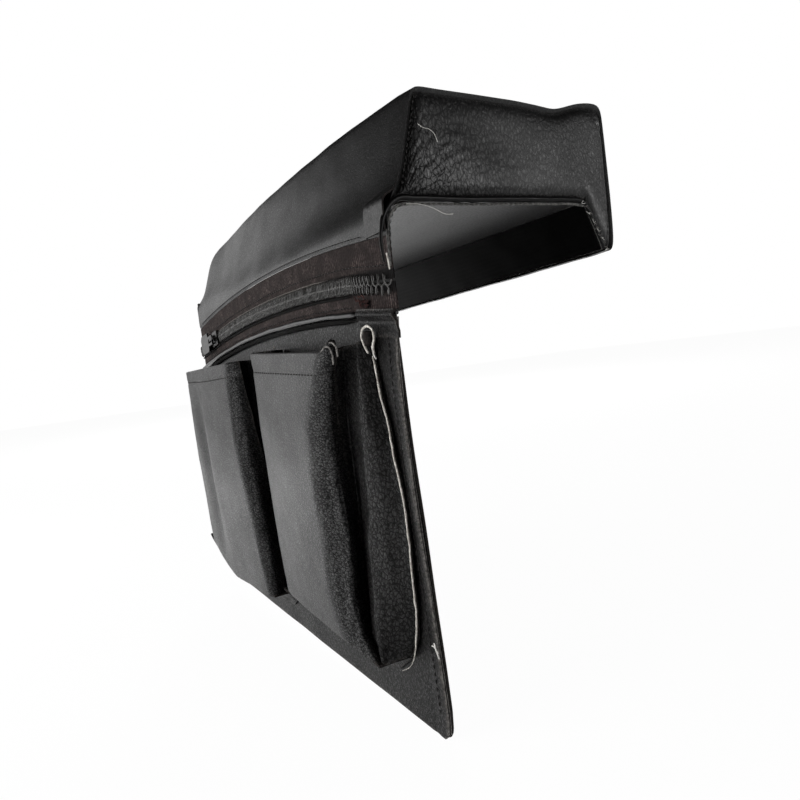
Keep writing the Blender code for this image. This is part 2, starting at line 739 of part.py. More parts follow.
class Pocket:
    """Place of one pocket: its ends along the panel and the heights of its top and bottom edges."""

    def __init__(self, name, start, width, flare, drops, margins, lift, crease):
        self.name = name
        self.start = start
        self.end = start + width
        self.flare = flare
        self.lift = lift
        self.crease = crease
        ends = (self.start, self.end)
        self.tops = [arc_height(y, ROLL_OFFSET) - drop for y, drop in zip(ends, drops)]
        self.bottoms = [panel_bottom(y) + margin for y, margin in zip(ends, margins)]

    def near_end(self, share):
        """The near side's place at a share of the way down: the pocket widens downwards."""
        return self.start - self.flare * share

    def height(self, y, share):
        """Height at a share of the way down from the top edge to the bottom edge."""
        across = (y - self.start) / (self.end - self.start)
        top = self.tops[0] + (self.tops[1] - self.tops[0]) * across
        bottom = self.bottoms[0] + (self.bottoms[1] - self.bottoms[0]) * across
        past = max(across - (1 - FAR_CORNER_SHARE), 0) / FAR_CORNER_SHARE
        bottom += self.lift * past ** FAR_CORNER_POWER
        return top + (bottom - top) * share

    def face_x(self, share):
        return OUTER_FACE_X - (STANDOFF_TOP + (STANDOFF_BOTTOM - STANDOFF_TOP) * share)

    def hinge_z(self):
        return sum(self.bottoms) / 2

    def front_outline(self, down):
        """The front's outer face in plan at a share of its height, from its near end."""
        face = self.face_x(down)
        start = self.near_end(down)
        width = self.end - start
        near = []
        for back, along in FRONT_CORNER_SHARES:
            near.append((face + back * POCKET_RETURN, start + along * POCKET_RETURN))
        far = [(across, start + self.end - along) for across, along in reversed(near)]
        middle = []
        for share in FRONT_COLUMN_SHARES:
            y = start + share * width
            bulge = POCKET_CROWN * math.sin(math.pi * share) * math.sin(math.pi * down)
            if self.crease is not None:
                beside = (y - start - self.crease * width) / CREASE_WIDTH
                bulge -= CREASE_DEPTH * math.exp(-beside ** 2) * math.sin(math.pi * down)
            middle.append((face - bulge, y))
        return near + middle + far


def add_pocket(pocket, panel, front):
    """Front, hem and gussets of one pocket."""

    def rows(shares, inset):
        placed = []
        for share in shares:
            outline = offset_outline(pocket.front_outline(share), inset)
            placed.append([(x, y, pocket.height(y, share)) for x, y in outline])
        return placed

    add_sheet(
        pocket.name + "_front", rows(FRONT_ROW_SHARES, 0), rows(FRONT_ROW_SHARES, LEATHER),
        LEATHER_LOOK, front,
    )
    hem_share = HEM_HEIGHT / (pocket.tops[0] - pocket.bottoms[0])
    hem_rows = (0, hem_share / 2, hem_share)
    hem_inner = 2 * LEATHER + CLEARANCE
    add_sheet(
        pocket.name + "_hem", rows(hem_rows, LEATHER + CLEARANCE), rows(hem_rows, hem_inner),
        LEATHER_LOOK, front,
    )
    near_flange = WIDE_FLANGE if pocket.flare else SIDE_FLANGE
    add_side_gusset(pocket, "_near_gusset", 1, near_flange, panel)
    add_side_gusset(pocket, "_far_gusset", -1, SIDE_FLANGE, panel)
    add_bottom_gusset(pocket, panel)


def add_side_gusset(pocket, ending, inwards, flange, panel):
    """A folded strip from the front's side edge, in to a valley, and out to a flange on the panel."""
    sheet = LEATHER / 2
    panel_face = OUTER_FACE_X - CLEARANCE - sheet
    front_rows = []
    back_rows = []
    for share, bow in zip(GUSSET_ROW_SHARES, FLANGE_BOW_SHARES):
        edge_y = pocket.near_end(share) if inwards > 0 else pocket.end
        start_x = pocket.face_x(share) + POCKET_RETURN + CLEARANCE + sheet
        turn_y = edge_y + inwards * (1 - bow) * BOTTOM_FLANGE
        outline = [
            (start_x, edge_y + inwards * sheet),
            ((start_x + panel_face) / 2, edge_y + inwards * GUSSET_TUCK),
            (panel_face, turn_y),
            (panel_face, turn_y - inwards * (CLEARANCE + bow * flange)),
        ]
        z = pocket.height(edge_y, share) + (CLEARANCE if share == 1 else 0)
        front_rows.append([(x, y, z) for x, y in offset_outline(outline, sheet)])
        back_rows.append([(x, y, z) for x, y in offset_outline(outline, -sheet)])
    add_sheet(pocket.name + ending, front_rows, back_rows, LEATHER_LOOK, panel)


def add_bottom_gusset(pocket, panel):
    """The strip that closes the pocket's bottom, from the front's lower edge to the panel."""
    sheet = LEATHER / 2
    panel_face = OUTER_FACE_X - CLEARANCE - sheet
    loops = []
    for y in spread(pocket.near_end(1), pocket.end, BOTTOM_STEPS):
        bottom = pocket.height(y, 1) - CLEARANCE - sheet
        face = pocket.face_x(1)
        outline = [
            (face + sheet, bottom),
            ((face + panel_face) / 2, bottom - GUSSET_DROP / 4),
            (panel_face, bottom - GUSSET_DROP),
            (panel_face, bottom - GUSSET_DROP - BOTTOM_FLANGE),
        ]
        loop = offset_outline(outline, sheet) + offset_outline(outline, -sheet)[::-1]
        loops.append(at_station(loop, y))
    add_loft(pocket.name + "_bottom_gusset", loops, LEATHER_LOOK, panel)


def build():
    clear_scene()
    cover = pivot("cover_origin", (0, 0, 0))
    panel = pivot("panel_hinge", (PANEL_X, 0, FOLD_Z), cover)
    slider = pivot("slider_centre", (PANEL_X, CHAIN_PEAK_Y, CHAIN_CENTRE_Z), panel)
    pull_x, pull_along = pull_axis()
    pull = pivot("pull_hinge", chain_point(pull_x, pull_along, 0), slider)
    add_cover(cover)
    add_panel(panel)
    add_slider(slider, pull)
    near_start = NEAR_Y + NEAR_EDGE_MARGIN
    near_width = POCKET_SPACE * NEAR_POCKET_SHARE
    far_start = near_start + near_width + POCKET_SPACING
    far_width = POCKET_SPACE - near_width
    pockets = (
        Pocket("near_pocket", near_start, near_width, NEAR_POCKET_FLARE, NEAR_POCKET_DROPS,
               NEAR_POCKET_MARGINS, 0, None),
        Pocket("far_pocket", far_start, far_width, 0, FAR_POCKET_DROPS, FAR_POCKET_MARGINS,
               FAR_CORNER_LIFT, FAR_CREASE_SHARE),
    )
    for pocket in pockets:
        place = (pocket.face_x(1), 0, pocket.hinge_z())
        front = pivot(pocket.name + "_hinge", place, panel)
        add_pocket(pocket, panel, front)


build()
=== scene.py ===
import math

import bpy
import numpy as np
from mathutils import Matrix, Vector, noise


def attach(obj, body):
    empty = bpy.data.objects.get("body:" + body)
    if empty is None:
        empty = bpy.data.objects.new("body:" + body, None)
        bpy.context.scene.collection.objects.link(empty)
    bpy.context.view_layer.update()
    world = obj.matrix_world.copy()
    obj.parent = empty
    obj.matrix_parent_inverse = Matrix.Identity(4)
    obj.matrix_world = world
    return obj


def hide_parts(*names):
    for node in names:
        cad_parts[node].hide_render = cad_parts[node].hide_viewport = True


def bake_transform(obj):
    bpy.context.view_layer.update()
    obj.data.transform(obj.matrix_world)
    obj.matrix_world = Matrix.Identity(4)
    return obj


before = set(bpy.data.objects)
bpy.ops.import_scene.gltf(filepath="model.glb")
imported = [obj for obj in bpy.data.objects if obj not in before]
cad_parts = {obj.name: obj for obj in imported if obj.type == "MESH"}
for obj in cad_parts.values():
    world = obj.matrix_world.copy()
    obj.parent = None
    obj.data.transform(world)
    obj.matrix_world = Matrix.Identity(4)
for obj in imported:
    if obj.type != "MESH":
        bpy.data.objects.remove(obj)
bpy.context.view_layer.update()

# Camera: place, heading, pitch, roll and lens of the photograph
CAMERA_PLACE = (-0.1949, -0.3755, -0.0606)
HEADING = math.radians(29.62)
PITCH = math.radians(3.31)
ROLL = math.radians(7.35)
LENS = 30.915
SENSOR = 36

# Floor
FLOOR_Z = -0.2152

# Thicknesses
LEATHER = 0.0010
LINING = 0.0008
TAPE = 0.0005
GAP = 0.0003

# Cover
HALF_LENGTH = 0.1475
COVER_LENGTH = 0.295
NEAR_Y = -HALF_LENGTH
PANEL_X = -0.061
OUTER_X = -0.0615
INNER_X = -0.0605
FLAP_X = 0.044
FLAP_THICKNESS = 0.017
FLAP_FOOT = 0.0023
FLAP_DROP = 0.024
FLAP_DROP_MORE = 0.005
LINING_START = NEAR_Y + 0.0019
FOLD_Z = -0.0045
PAD_HEIGHT = 0.0453
SIDE_LEAN = 0.019
NOSE_START = 0.1095
NOSE_LENGTH = 0.038
NOSE_POWER = 3.6
CROWN = 0.07
CROWN_REACH = 0.346 * COVER_LENGTH
NEAR_TURN = ((0.0034, 0.0030), (0.0017, 0.0007), (0.0005, 0.0001))
EDGE_TUCK = 0.0006
EDGE_TUCK_HEIGHT = 0.0009
SIDE_SHARES = (
    (0.0, -0.03), (0.02, 0.013), (0.115, 0.043), (0.25, 0.072), (0.37, 0.128),
    (0.45, 0.21), (0.63, 0.47), (0.81, 0.745), (0.937, 0.936), (0.984, 0.983),
)
TOP_SHARES = (
    (0.016, 1.0), (0.14, 0.986), (0.337, 0.973), (0.599, 0.951), (0.744, 0.926),
    (0.849, 0.901), (0.919, 0.932), (1.0, 0.975),
)
FLAP_TOP_SHARES = (
    (0.0, 0.975), (0.41, 0.997), (0.84, 0.997), (0.965, 0.97), (1.0, 0.91),
    (1.01, 0.664), (1.01, 0.265),
)
FLAP_DROP_SHARES = (
    (1.01, -0.2), (1.0, 0.11), (0.98, 0.52), (0.93, 0.85), (0.84, 0.974),
    (0.706, 1.0), (0.553, 0.955),
)
END_SEAM = ((0.0500, 0.0445), (0.0554, 0.0376), (0.0592, 0.0283), (0.0588, 0.0), (0.0545, -0.0225))
SIDE_POINTS, TOP_POINTS, FLAP_POINTS, BAND_POINTS = 34, 46, 44, 12
END_TOP_POINTS, END_FLAP_POINTS = 80, 41
BAND_REACH = 37
END_CEILING = 0.0012
END_INSET = 0.0018
END_PUFF = 0.0027
END_PUFF_WIDTH = 0.0024
CREASE_CORNER = (-0.056, -0.004)
FOLD_REACH = 0.03
CREASE_REACH = 0.062
LINING_CURL = ((0.0037, -0.0019), (0.00555, -0.00095), (0.0089, -0.00024), (0.0111, 0.0))

# Panel and zip
CHAIN_RADIUS = 1.150
CHAIN_PEAK_Y = -0.02242
CHAIN_CENTRE_Z = -1.1731
UPPER_TAPE = 0.0171
LOWER_TAPE = -0.0111
ROLL_OFFSET = -0.0126
PANEL_TOP = -0.0141
EDGE_INSET = 0.0065
EDGE_SHARES = (
    (0.0, 0.35), (0.1, 0.85), (0.22, 1.0), (0.42, 0.87), (0.65, 0.6), (0.85, 0.35),
    (0.94, 0.25), (0.985, 0.4), (1.0, 0.75),
)
TOOTH_PITCH = 0.00145
TOOTH_RADIUS = 0.00028
LOOSE_Y = -0.1135
LOOSE_LENGTH = 0.030
LOOSE_PITCH = 0.0038
DROOP_Y = -0.108
DROOP_LENGTH = 0.036
DROOP = 0.0016
TURN_STEPS = 16
PANEL_LOW = -0.2145
PANEL_RISE = 0.0085
TURNING = 0.0004
PANEL_BACK_X = -0.0584
TURNING_X = -0.0600
TAPE_X = -0.0610
TORN_X = -0.0626
COIL_X = -0.06225
PATCH_X = -0.0630
PATCH_LENGTH = 0.0318
PATCH_SEAM = -0.0152

# Pockets
STANDOFF_TOP = 0.0195
STANDOFF_BOTTOM = 0.0170
POCKET_RETURN = 0.006
POCKET_CROWN = 0.0025
HEM = 0.0092
FOLD_RADIUS = 0.00115
GUSSET_TUCK = 0.011
BOTTOM_FLANGE = 0.0045
SIDE_FLANGE = 0.009
SEAM_LIMIT = -0.0756
SEAM_LIMIT_DROP = 0.0126
TURNED_WIDTH = 0.006
TURNED_FADE = 0.011
CREASE_DEPTH = 0.0040
CREASE_WIDTH = 0.010
EAR_Y = -0.1190
EAR_HEIGHT = 0.022
EAR_WIDTH = 0.0036
GUSSET_DROP = 0.0090
FLANGE_BOWS = (
    (0.0, 0.06), (0.15, 0.62), (0.35, 1.0), (0.55, 0.95), (0.75, 0.7), (0.9, 0.35), (1.0, 0.08),
)


# Looks
WHITE = (1, 1, 1, 1)
WANDER = 0.0022


# Lines and surfaces

def smooth(line, times):
    """Draws each inner point of a line towards its neighbours, in place."""
    for _ in range(times):
        line[1:-1] = (line[:-2] + 2 * line[1:-1] + line[2:]) / 4


def soft_line(points, count, rounding=0):
    """Evenly spaced points along straight steps, with the corners rounded off."""
    line = np.array(points, float)
    along = np.concatenate([[0], np.cumsum(np.linalg.norm(np.diff(line, axis=0), axis=1))])
    wanted = np.linspace(0, along[-1], count)
    line = np.stack([np.interp(wanted, along, axis) for axis in line.T], axis=1)
    smooth(line, rounding)
    return line


def right_of(line):
    """Unit vectors to the right of a flat line, at its points."""
    run = np.gradient(line, axis=0)
    side = np.stack([run[:, 1], -run[:, 0]], axis=1)
    return side / np.maximum(np.linalg.norm(side, axis=1), 1e-9)[:, None]


def roughen(points, size, seed):
    """Smooth noise from -1 to 1 at each point, with lumps of the given size."""
    shift = Vector((seed * 13.7, seed * 7.1, seed * 3.3))
    flat = points.reshape(-1, 3)
    values = [noise.noise(Vector(point) / size + shift) for point in flat]
    return np.array(values).reshape(points.shape[:-1])


def shaken(path, amount, size, seed):
    """A path with a little noise in all three directions."""
    return path + amount * np.stack([roughen(path, size, seed + step) for step in range(3)], axis=1)


def at_station(section, y):
    """A section's points across and up, set at their place along the part."""
    return np.insert(section, 1, y, axis=-1)


def surface_normals(grid):
    """Unit normals of a grid of points."""
    across = np.gradient(grid, axis=1)
    down = np.gradient(grid, axis=0)
    normals = np.cross(across, down)
    return normals / np.maximum(np.linalg.norm(normals, axis=2), 1e-9)[..., None]


def bump_up(grid, facing, height):
    """Moves a grid along its normals, on the side that faces the given way."""
    normals = surface_normals(grid)
    middle = normals[grid.shape[0] // 2, grid.shape[1] // 2]
    sign = 1 if np.dot(middle, facing) > 0 else -1
    return grid + sign * normals * height[..., None]


def lengths_along(grid, axis):
    """Mean distances along a grid's rows or columns, from its first line."""
    steps = np.linalg.norm(np.diff(grid, axis=axis), axis=2)
    mean = steps.mean(axis=1 - axis)
    return np.concatenate([[0], np.cumsum(mean)])


def select_only(piece):
    bpy.ops.object.select_all(action="DESELECT")
    piece.select_set(True)
    bpy.context.view_layer.objects.active = piece


def new_piece(name, points, faces, looks):
    mesh = bpy.data.meshes.new(name)
    mesh.from_pydata([tuple(point) for point in points], [], faces)
    mesh.update()
    piece = bpy.data.objects.new(name, mesh)
    bpy.context.scene.collection.objects.link(piece)
    for look in looks:
        mesh.materials.append(look)
    return piece


def leather_piece(name, grid, facing, thickness, looks, creased=0.5):
    """A sheet with thickness from a grid of points, with its face the given way."""
    rows, columns = grid.shape[:2]
    normals = surface_normals(grid)
    turned = np.dot(normals[rows // 2, columns // 2], facing) < 0
    faces = []
    for row in range(rows - 1):
        for column in range(columns - 1):
            corner = row * columns + column
            quad = [corner, corner + 1, corner + columns + 1, corner + columns]
            faces.append(quad[::-1] if turned else quad)
    piece = new_piece(name, grid.reshape(-1, 3), faces, looks)
    mesh = piece.data
    down = lengths_along(grid, 0)
    across = lengths_along(grid, 1)
    places = np.stack(np.meshgrid(across, down), axis=2).reshape(-1, 2)
    layer = mesh.uv_layers.new(name="surface")
    for corner in mesh.loops:
        layer.data[corner.index].uv = places[corner.vertex_index]
    near_border = np.minimum(
        np.minimum(places[:, 0], across[-1] - places[:, 0]),
        np.minimum(places[:, 1], down[-1] - places[:, 1]),
    )
    wear = mesh.attributes.new("edge", "FLOAT", "POINT")
    wear.data.foreach_set("value", np.exp(-near_border / 0.0016).astype(np.float32))
    amount = mesh.attributes.new("creased", "FLOAT", "POINT")
    amount.data.foreach_set("value", np.broadcast_to(creased, grid.shape[:2]).astype(np.float32).ravel())
    select_only(piece)
    if thickness:
        solid = piece.modifiers.new("thickness", "SOLIDIFY")
        solid.thickness = thickness
        solid.offset = -1
        solid.material_offset_rim = len(looks) - 1
        bpy.ops.object.modifier_apply(modifier=solid.name)
    bpy.ops.object.shade_smooth_by_angle(angle=math.radians(50))
    return piece


def declare(grid):
    """Measures a piece's width and length; strips under 10 mm wide are too narrow to be sheets. Nothing further
    is done with them.
    """
    width = np.linalg.norm(np.diff(grid, axis=1), axis=2).sum(axis=1).max()
    length = np.linalg.norm(np.diff(grid, axis=0), axis=2).sum(axis=0).max()
    if min(width, length) < 0.01:
        return


def tube_piece(name, path, radius, look, sides=10):
    """A round bar along a path, closed at its ends."""
    path = np.array(path, float)
    count = len(path)
    radii = np.broadcast_to(np.array(radius, float), (count,)).copy()
    run = np.gradient(path, axis=0)
    run /= np.maximum(np.linalg.norm(run, axis=1), 1e-12)[:, None]
    side = np.cross(run[0], (0.3, 0.5, 0.81))
    points = []
    for index in range(count):
        side = side - run[index] * np.dot(side, run[index])
        side /= np.linalg.norm(side)
        up = np.cross(run[index], side)
        for step in range(sides):
            angle = 2 * math.pi * step / sides
            points.append(path[index] + radii[index] * (side * math.cos(angle) + up * math.sin(angle)))
    faces = [list(range(sides)), [(count - 1) * sides + step for step in range(sides)][::-1]]
    for index in range(count - 1):
        for step in range(sides):
            following = (step + 1) % sides
            low = index * sides
            faces.append([low + following, low + step, low + sides + step, low + sides + following])
    piece = new_piece(name, points, faces, [look])
    select_only(piece)
    bpy.ops.object.mode_set(mode="EDIT")
    bpy.ops.mesh.select_all(action="SELECT")
    bpy.ops.mesh.normals_make_consistent(inside=False)
    bpy.ops.object.mode_set(mode="OBJECT")
    bpy.ops.object.shade_smooth_by_angle(angle=math.radians(60))
    return piece


def stitch_piece(name, line, facing, pitch, look, length_share=0.62, radius=0.00022):
    """A row of short thread stitches on a line, slightly sunk at their ends."""
    line = np.array(line, float)
    total = np.linalg.norm(np.diff(line, axis=0), axis=1).sum()
    count = max(int(total / pitch), 2)
    spots = soft_line(line, count + 1)
    facing = np.array(facing, float)
    facing /= np.linalg.norm(facing)
    points, faces = [], []
    shape = ((-0.5, -1.2, 0.5), (-0.38, 0.2, 0.9), (0.0, 0.75, 1.0), (0.38, 0.2, 0.9), (0.5, -1.2, 0.5))
    for start, end in zip(spots, spots[1:]):
        run = (end - start) * length_share
        centre = (start + end) / 2
        across = np.cross(facing, run)
        across /= np.linalg.norm(across)
        first = len(points)
        for along, lift, wide in shape:
            middle = centre + run * along + facing * lift * radius
            for step in range(5):
                angle = 2 * math.pi * step / 5
                out = across * math.cos(angle) + facing * math.sin(angle)
                points.append(middle + out * radius * wide)
        for ring in range(4):
            for step in range(5):
                low = first + ring * 5
                following = (step + 1) % 5
                faces.append([low + step, low + following, low + 5 + following, low + 5 + step])
        faces.append([first + step for step in range(5)][::-1])
        faces.append([first + 20 + step for step in range(5)])
    piece = new_piece(name, points, faces, [look])
    piece.data.shade_smooth()
    return piece


# Materials

class Graph:
    """A node tree, with short ways to add what the looks are made of."""

    def __init__(self, tree):
        self.nodes, self.links = tree.nodes, tree.links

    def feed(self, socket, value):
        """Links an output into a socket, or sets the socket to a plain value."""
        if isinstance(value, bpy.types.NodeSocket):
            self.links.new(value, socket)
        else:
            socket.default_value = value

    def add(self, kind, inputs=None, **settings):
        """A node with its settings, and its inputs by name or number."""
        node = self.nodes.new("ShaderNode" + kind)
        for name, value in settings.items():
            setattr(node, name, value)
        for name, value in (inputs or {}).items():
            self.feed(node.inputs[name], value)
        return node

    def math(self, operation, first, second=0.0):
        return self.add("Math", {0: first, 1: second}, operation=operation).outputs[0]

    def plus(self, first, second):
        return self.math("ADD", first, second)

    def less(self, first, second):
        return self.math("SUBTRACT", first, second)

    def times(self, first, second):
        return self.math("MULTIPLY", first, second)

    def ramp(self, value, low, high, start=0.0, end=1.0):
        """A smooth step from one value to another."""
        inputs = {"Value": value, "From Min": low, "From Max": high, "To Min": start, "To Max": end}
        return self.add("MapRange", inputs, interpolation_type="SMOOTHSTEP").outputs["Result"]

    def noise(self, vector, scale, detail):
        return self.add("TexNoise", {"Vector": vector, "Scale": scale, "Detail": detail}).outputs

    def attribute(self, name):
        return self.add("Attribute", attribute_name=name).outputs["Fac"]

    def place(self, stretch=(1, 1, 1)):
        """Object coordinates, stretched."""
        spot = self.add("TexCoord").outputs["Object"]
        return self.add("Mapping", {"Vector": spot, "Scale": stretch}).outputs["Vector"]

    def axes(self, coordinates):
        """The three parts of a place or a direction."""
        spot = self.add("TexCoord").outputs[coordinates]
        return self.add("SeparateXYZ", {0: spot}).outputs

    def mix(self, factor, first, second):
        """A colour between two."""
        first, second = [(*value, 1.0) if isinstance(value, tuple) else value for value in (first, second)]
        return self.add("Mix", {"Factor": factor, 6: first, 7: second}, data_type="RGBA").outputs[2]

    def mix_shaders(self, factor, first, second, output):
        mixed = self.add("MixShader", {0: factor, 1: first, 2: second})
        self.feed(self.nodes[output].inputs["Surface"], mixed.outputs[0])

    def bump(self, shader, height, distance):
        bump = self.add("Bump", {"Height": height, "Distance": distance, "Strength": 1.0})
        self.feed(shader["Normal"], bump.outputs["Normal"])


def new_group(name, inputs, outputs):
    """An empty node group that takes a place and values, and gives values."""
    tree = bpy.data.node_groups.new(name, "ShaderNodeTree")
    tree.interface.new_socket("Vector", in_out="INPUT", socket_type="NodeSocketVector")
    for labels, side in ((inputs, "INPUT"), (outputs, "OUTPUT")):
        for label in labels:
            tree.interface.new_socket(label, in_out=side, socket_type="NodeSocketFloat")
    given = tree.nodes.new("NodeGroupInput").outputs
    made = tree.nodes.new("NodeGroupOutput").inputs
    return tree, Graph(tree), given, made


def make_grain():
    """Pebbled grain, creases between its fields, a crevice mask for painted shade, and slow changes of tone."""
    tree, graph, given, made = new_group(
        "leather_grain", ("Pebbles", "Creases", "Crease Depth"), ("Height", "Crevice Shade", "Crack", "Tone"),
    )
    vector = given["Vector"]
    wander = {0: graph.noise(vector, given["Creases"], 2)["Color"], 1: (WANDER, WANDER, WANDER), 2: vector}
    moved = graph.add("VectorMath", wander, operation="MULTIPLY_ADD").outputs[0]
    cells = []
    for scale in ("Pebbles", "Creases"):
        cell = graph.add("TexVoronoi", {"Vector": moved, "Scale": given[scale]}, feature="DISTANCE_TO_EDGE")
        cells.append(cell.outputs["Distance"])
    pebble = graph.ramp(cells[0], 0.0, 0.30)
    crease = graph.math("POWER", graph.ramp(cells[1], 0.0, 0.34), 0.8)
    open_part = graph.ramp(cells[1], 0.02, 0.20)
    fine = graph.noise(vector, 4200.0, 2)["Fac"]
    height = graph.plus(graph.times(pebble, 0.5), graph.times(crease, given["Crease Depth"]))
    graph.feed(made["Height"], graph.plus(height, graph.times(fine, 0.25)))
    graph.feed(made["Crevice Shade"], graph.less(1.0, graph.times(pebble, open_part)))
    graph.feed(made["Crack"], graph.less(1.0, open_part))
    graph.feed(made["Tone"], graph.noise(vector, 45.0, 4)["Fac"])
    return tree


def make_weave():
    """Crossing threads, with slubs."""
    tree, graph, given, made = new_group("weave", ("Threads",), ("Height", "Slub"))
    inputs = {"Vector": given["Vector"], "Scale": given["Threads"], "Distortion": 1.2, "Detail": 1.0}
    waves = [graph.add("TexWave", inputs, bands_direction=axis).outputs["Fac"] for axis in ("X", "Y")]
    graph.feed(made["Height"], graph.times(*waves))
    graph.feed(made["Slub"], graph.noise(given["Vector"], 900.0, 3)["Fac"])
    return tree


def make_wear():
    """A patchy mask along an edge, from the edge's own attribute."""
    tree, graph, given, made = new_group("edge_wear", ("Edge", "Amount"), ("Mask",))
    patchy = graph.ramp(graph.noise(given["Vector"], 520.0, 4)["Fac"], 0.35, 0.7)
    near = graph.ramp(given["Edge"], 0.25, 0.95)
    graph.feed(made["Mask"], graph.times(graph.times(patchy, near), given["Amount"]))
    return tree


GRAIN = make_grain()
WEAVE = make_weave()
WEAR = make_wear()


def blank_material(name, roughness, specular=0.5, metallic=0.0):
    """A new material, its graph and its shader's inputs."""
    material = bpy.data.materials.new(name)
    material.use_nodes = True
    shader = material.node_tree.nodes["Principled BSDF"].inputs
    shader["Roughness"].default_value = roughness
    shader["Specular IOR Level"].default_value = specular
    shader["Metallic"].default_value = metallic
    return material, Graph(material.node_tree), shader


def leather_look(name, colours, roughness, pebbles, creases, crease_depth, depth,
                 stretch=(1, 1, 1), wear=0.5, specular=0.35, lacquer=0.6):
    """Grained leather: its crevices are darkened as painted shade, its lacquer stops in the cracks, and its
    edges are rubbed paler.
    """
    material, graph, shader = blank_material(name, roughness, specular)
    dark, light, rubbed = colours
    grain = graph.add("Group", node_tree=GRAIN, inputs={
        "Vector": graph.place(stretch), "Pebbles": pebbles, "Creases": creases, "Crease Depth": crease_depth,
    }).outputs
    worn = graph.add("Group", node_tree=WEAR, inputs={
        "Vector": graph.place(), "Edge": graph.attribute("edge"), "Amount": wear,
    }).outputs["Mask"]
    creased = graph.attribute("creased")
    colour = graph.mix(grain["Tone"], light, dark)
    # painted shade: the grain's crevices darkened in the colour
    colour = graph.mix(grain["Crevice Shade"], colour, tuple(0.3 * part for part in dark))
    graph.feed(shader["Base Color"], graph.mix(worn, colour, rubbed))
    rough = graph.ramp(grain["Tone"], 0.25, 0.75, roughness - 0.05, roughness + 0.07)
    sunk = graph.times(graph.times(grain["Crevice Shade"], creased), 0.45)
    graph.feed(shader["Roughness"], graph.plus(rough, sunk))
    cracked = graph.times(grain["Crack"], creased)
    bare = graph.math("MAXIMUM", cracked, graph.times(grain["Crevice Shade"], 0.5))
    graph.feed(shader["Coat Weight"], graph.times(graph.less(1.0, bare), lacquer))
    shader["Coat Roughness"].default_value = roughness - 0.02
    shine = graph.less(1.0, graph.times(cracked, 0.85))
    graph.feed(shader["Specular IOR Level"], graph.times(shine, specular))
    graph.bump(shader, graph.times(grain["Height"], creased), 2 * depth)
    return material


def painted_chain_shade(graph):
    """Painted shade on the tape: 1 under the zip's chain and 0 beside it, from the arc that it follows."""
    parts = graph.axes("Object")
    along = graph.less(parts["Y"], CHAIN_PEAK_Y)
    above = graph.less(parts["Z"], CHAIN_CENTRE_Z)
    square = graph.plus(graph.times(along, along), graph.times(above, above))
    away = graph.math("ABSOLUTE", graph.less(graph.math("SQRT", square), CHAIN_RADIUS))
    return graph.ramp(away, 0.0038, 0.0056, 1.0, 0.0)


def woven_look(name, colours, roughness, threads, depth, specular=0.5, painted_shade=False):
    """Cloth of crossing threads, with painted shade under the chain when asked for."""
    material, graph, shader = blank_material(name, roughness, specular)
    weave = graph.add("Group", {"Vector": graph.place(), "Threads": threads}, node_tree=WEAVE).outputs
    colour = graph.mix(weave["Height"], colours[0], colours[1])
    colour = graph.mix(graph.ramp(weave["Slub"], 0.38, 0.62), colour, colours[2])
    if painted_shade:
        # painted shade: the tape darkened to near black under the chain, where the chain shades it
        colour = graph.mix(painted_chain_shade(graph), colour, (0.0015, 0.0012, 0.0012))
    graph.feed(shader["Base Color"], colour)
    graph.feed(shader["Roughness"], graph.ramp(weave["Slub"], 0.3, 0.7, roughness - 0.08, roughness + 0.05))
    graph.bump(shader, weave["Height"], depth)
    return material


def fibre_look(name, colours, roughness, lumps, depth):
    """Raw edges, foam and thread: a speckled, fuzzy surface."""
    material, graph, shader = blank_material(name, roughness, 0.2)
    vector = graph.place()
    coarse = graph.noise(vector, lumps, 5)["Fac"]
    fine = graph.noise(vector, lumps * 5, 2)["Fac"]
    graph.feed(shader["Base Color"], graph.mix(graph.ramp(coarse, 0.35, 0.65), colours[0], colours[1]))
    rough = graph.ramp(fine, 0.3, 0.7, roughness - 0.1, min(roughness + 0.08, 1.0))
    graph.feed(shader["Roughness"], rough)
    graph.bump(shader, fine, depth)
    return material


def nylon_look(name, colours, roughness, streaks, depth, metallic=0.0):
    """Moulded or painted parts, with fine scratches."""
    material, graph, shader = blank_material(name, roughness, 0.5, metallic)
    scratch = graph.noise(graph.place((1, 0.2, 1)), streaks, 4)["Fac"]
    graph.feed(shader["Base Color"], graph.mix(scratch, colours[0], colours[1]))
    graph.feed(shader["Roughness"], graph.ramp(scratch, 0.3, 0.7, roughness - 0.08, roughness + 0.12))
    graph.bump(shader, scratch, depth)
    return material


BLACK = ((0.0032, 0.0030, 0.0031), (0.0068, 0.0063, 0.0062), (0.040, 0.037, 0.033))
DULL = ((0.0035, 0.0032, 0.0031), (0.0080, 0.0073, 0.0070), (0.060, 0.054, 0.048))
smooth_leather = leather_look("smooth_leather", BLACK, 0.30, 900, 640, 0.4, 0.00014, wear=0.06)
pocket_leather = leather_look(
    "pocket_leather", BLACK, 0.30, 950, 600, 1.3, 0.00018, stretch=(1, 0.75, 1.3),
)
coarse_leather = leather_look(
    "coarse_leather", DULL, 0.34, 900, 580, 1.2, 0.00020, stretch=(1, 1, 0.8), lacquer=0.5,
)
creased_leather = leather_look(
    "creased_leather", DULL, 0.32, 1000, 500, 1.2, 0.00020, stretch=(1.15, 1, 0.62),
)
ridge_leather = leather_look("ridge_leather", BLACK, 0.28, 900, 300, 0.3, 0.0001)
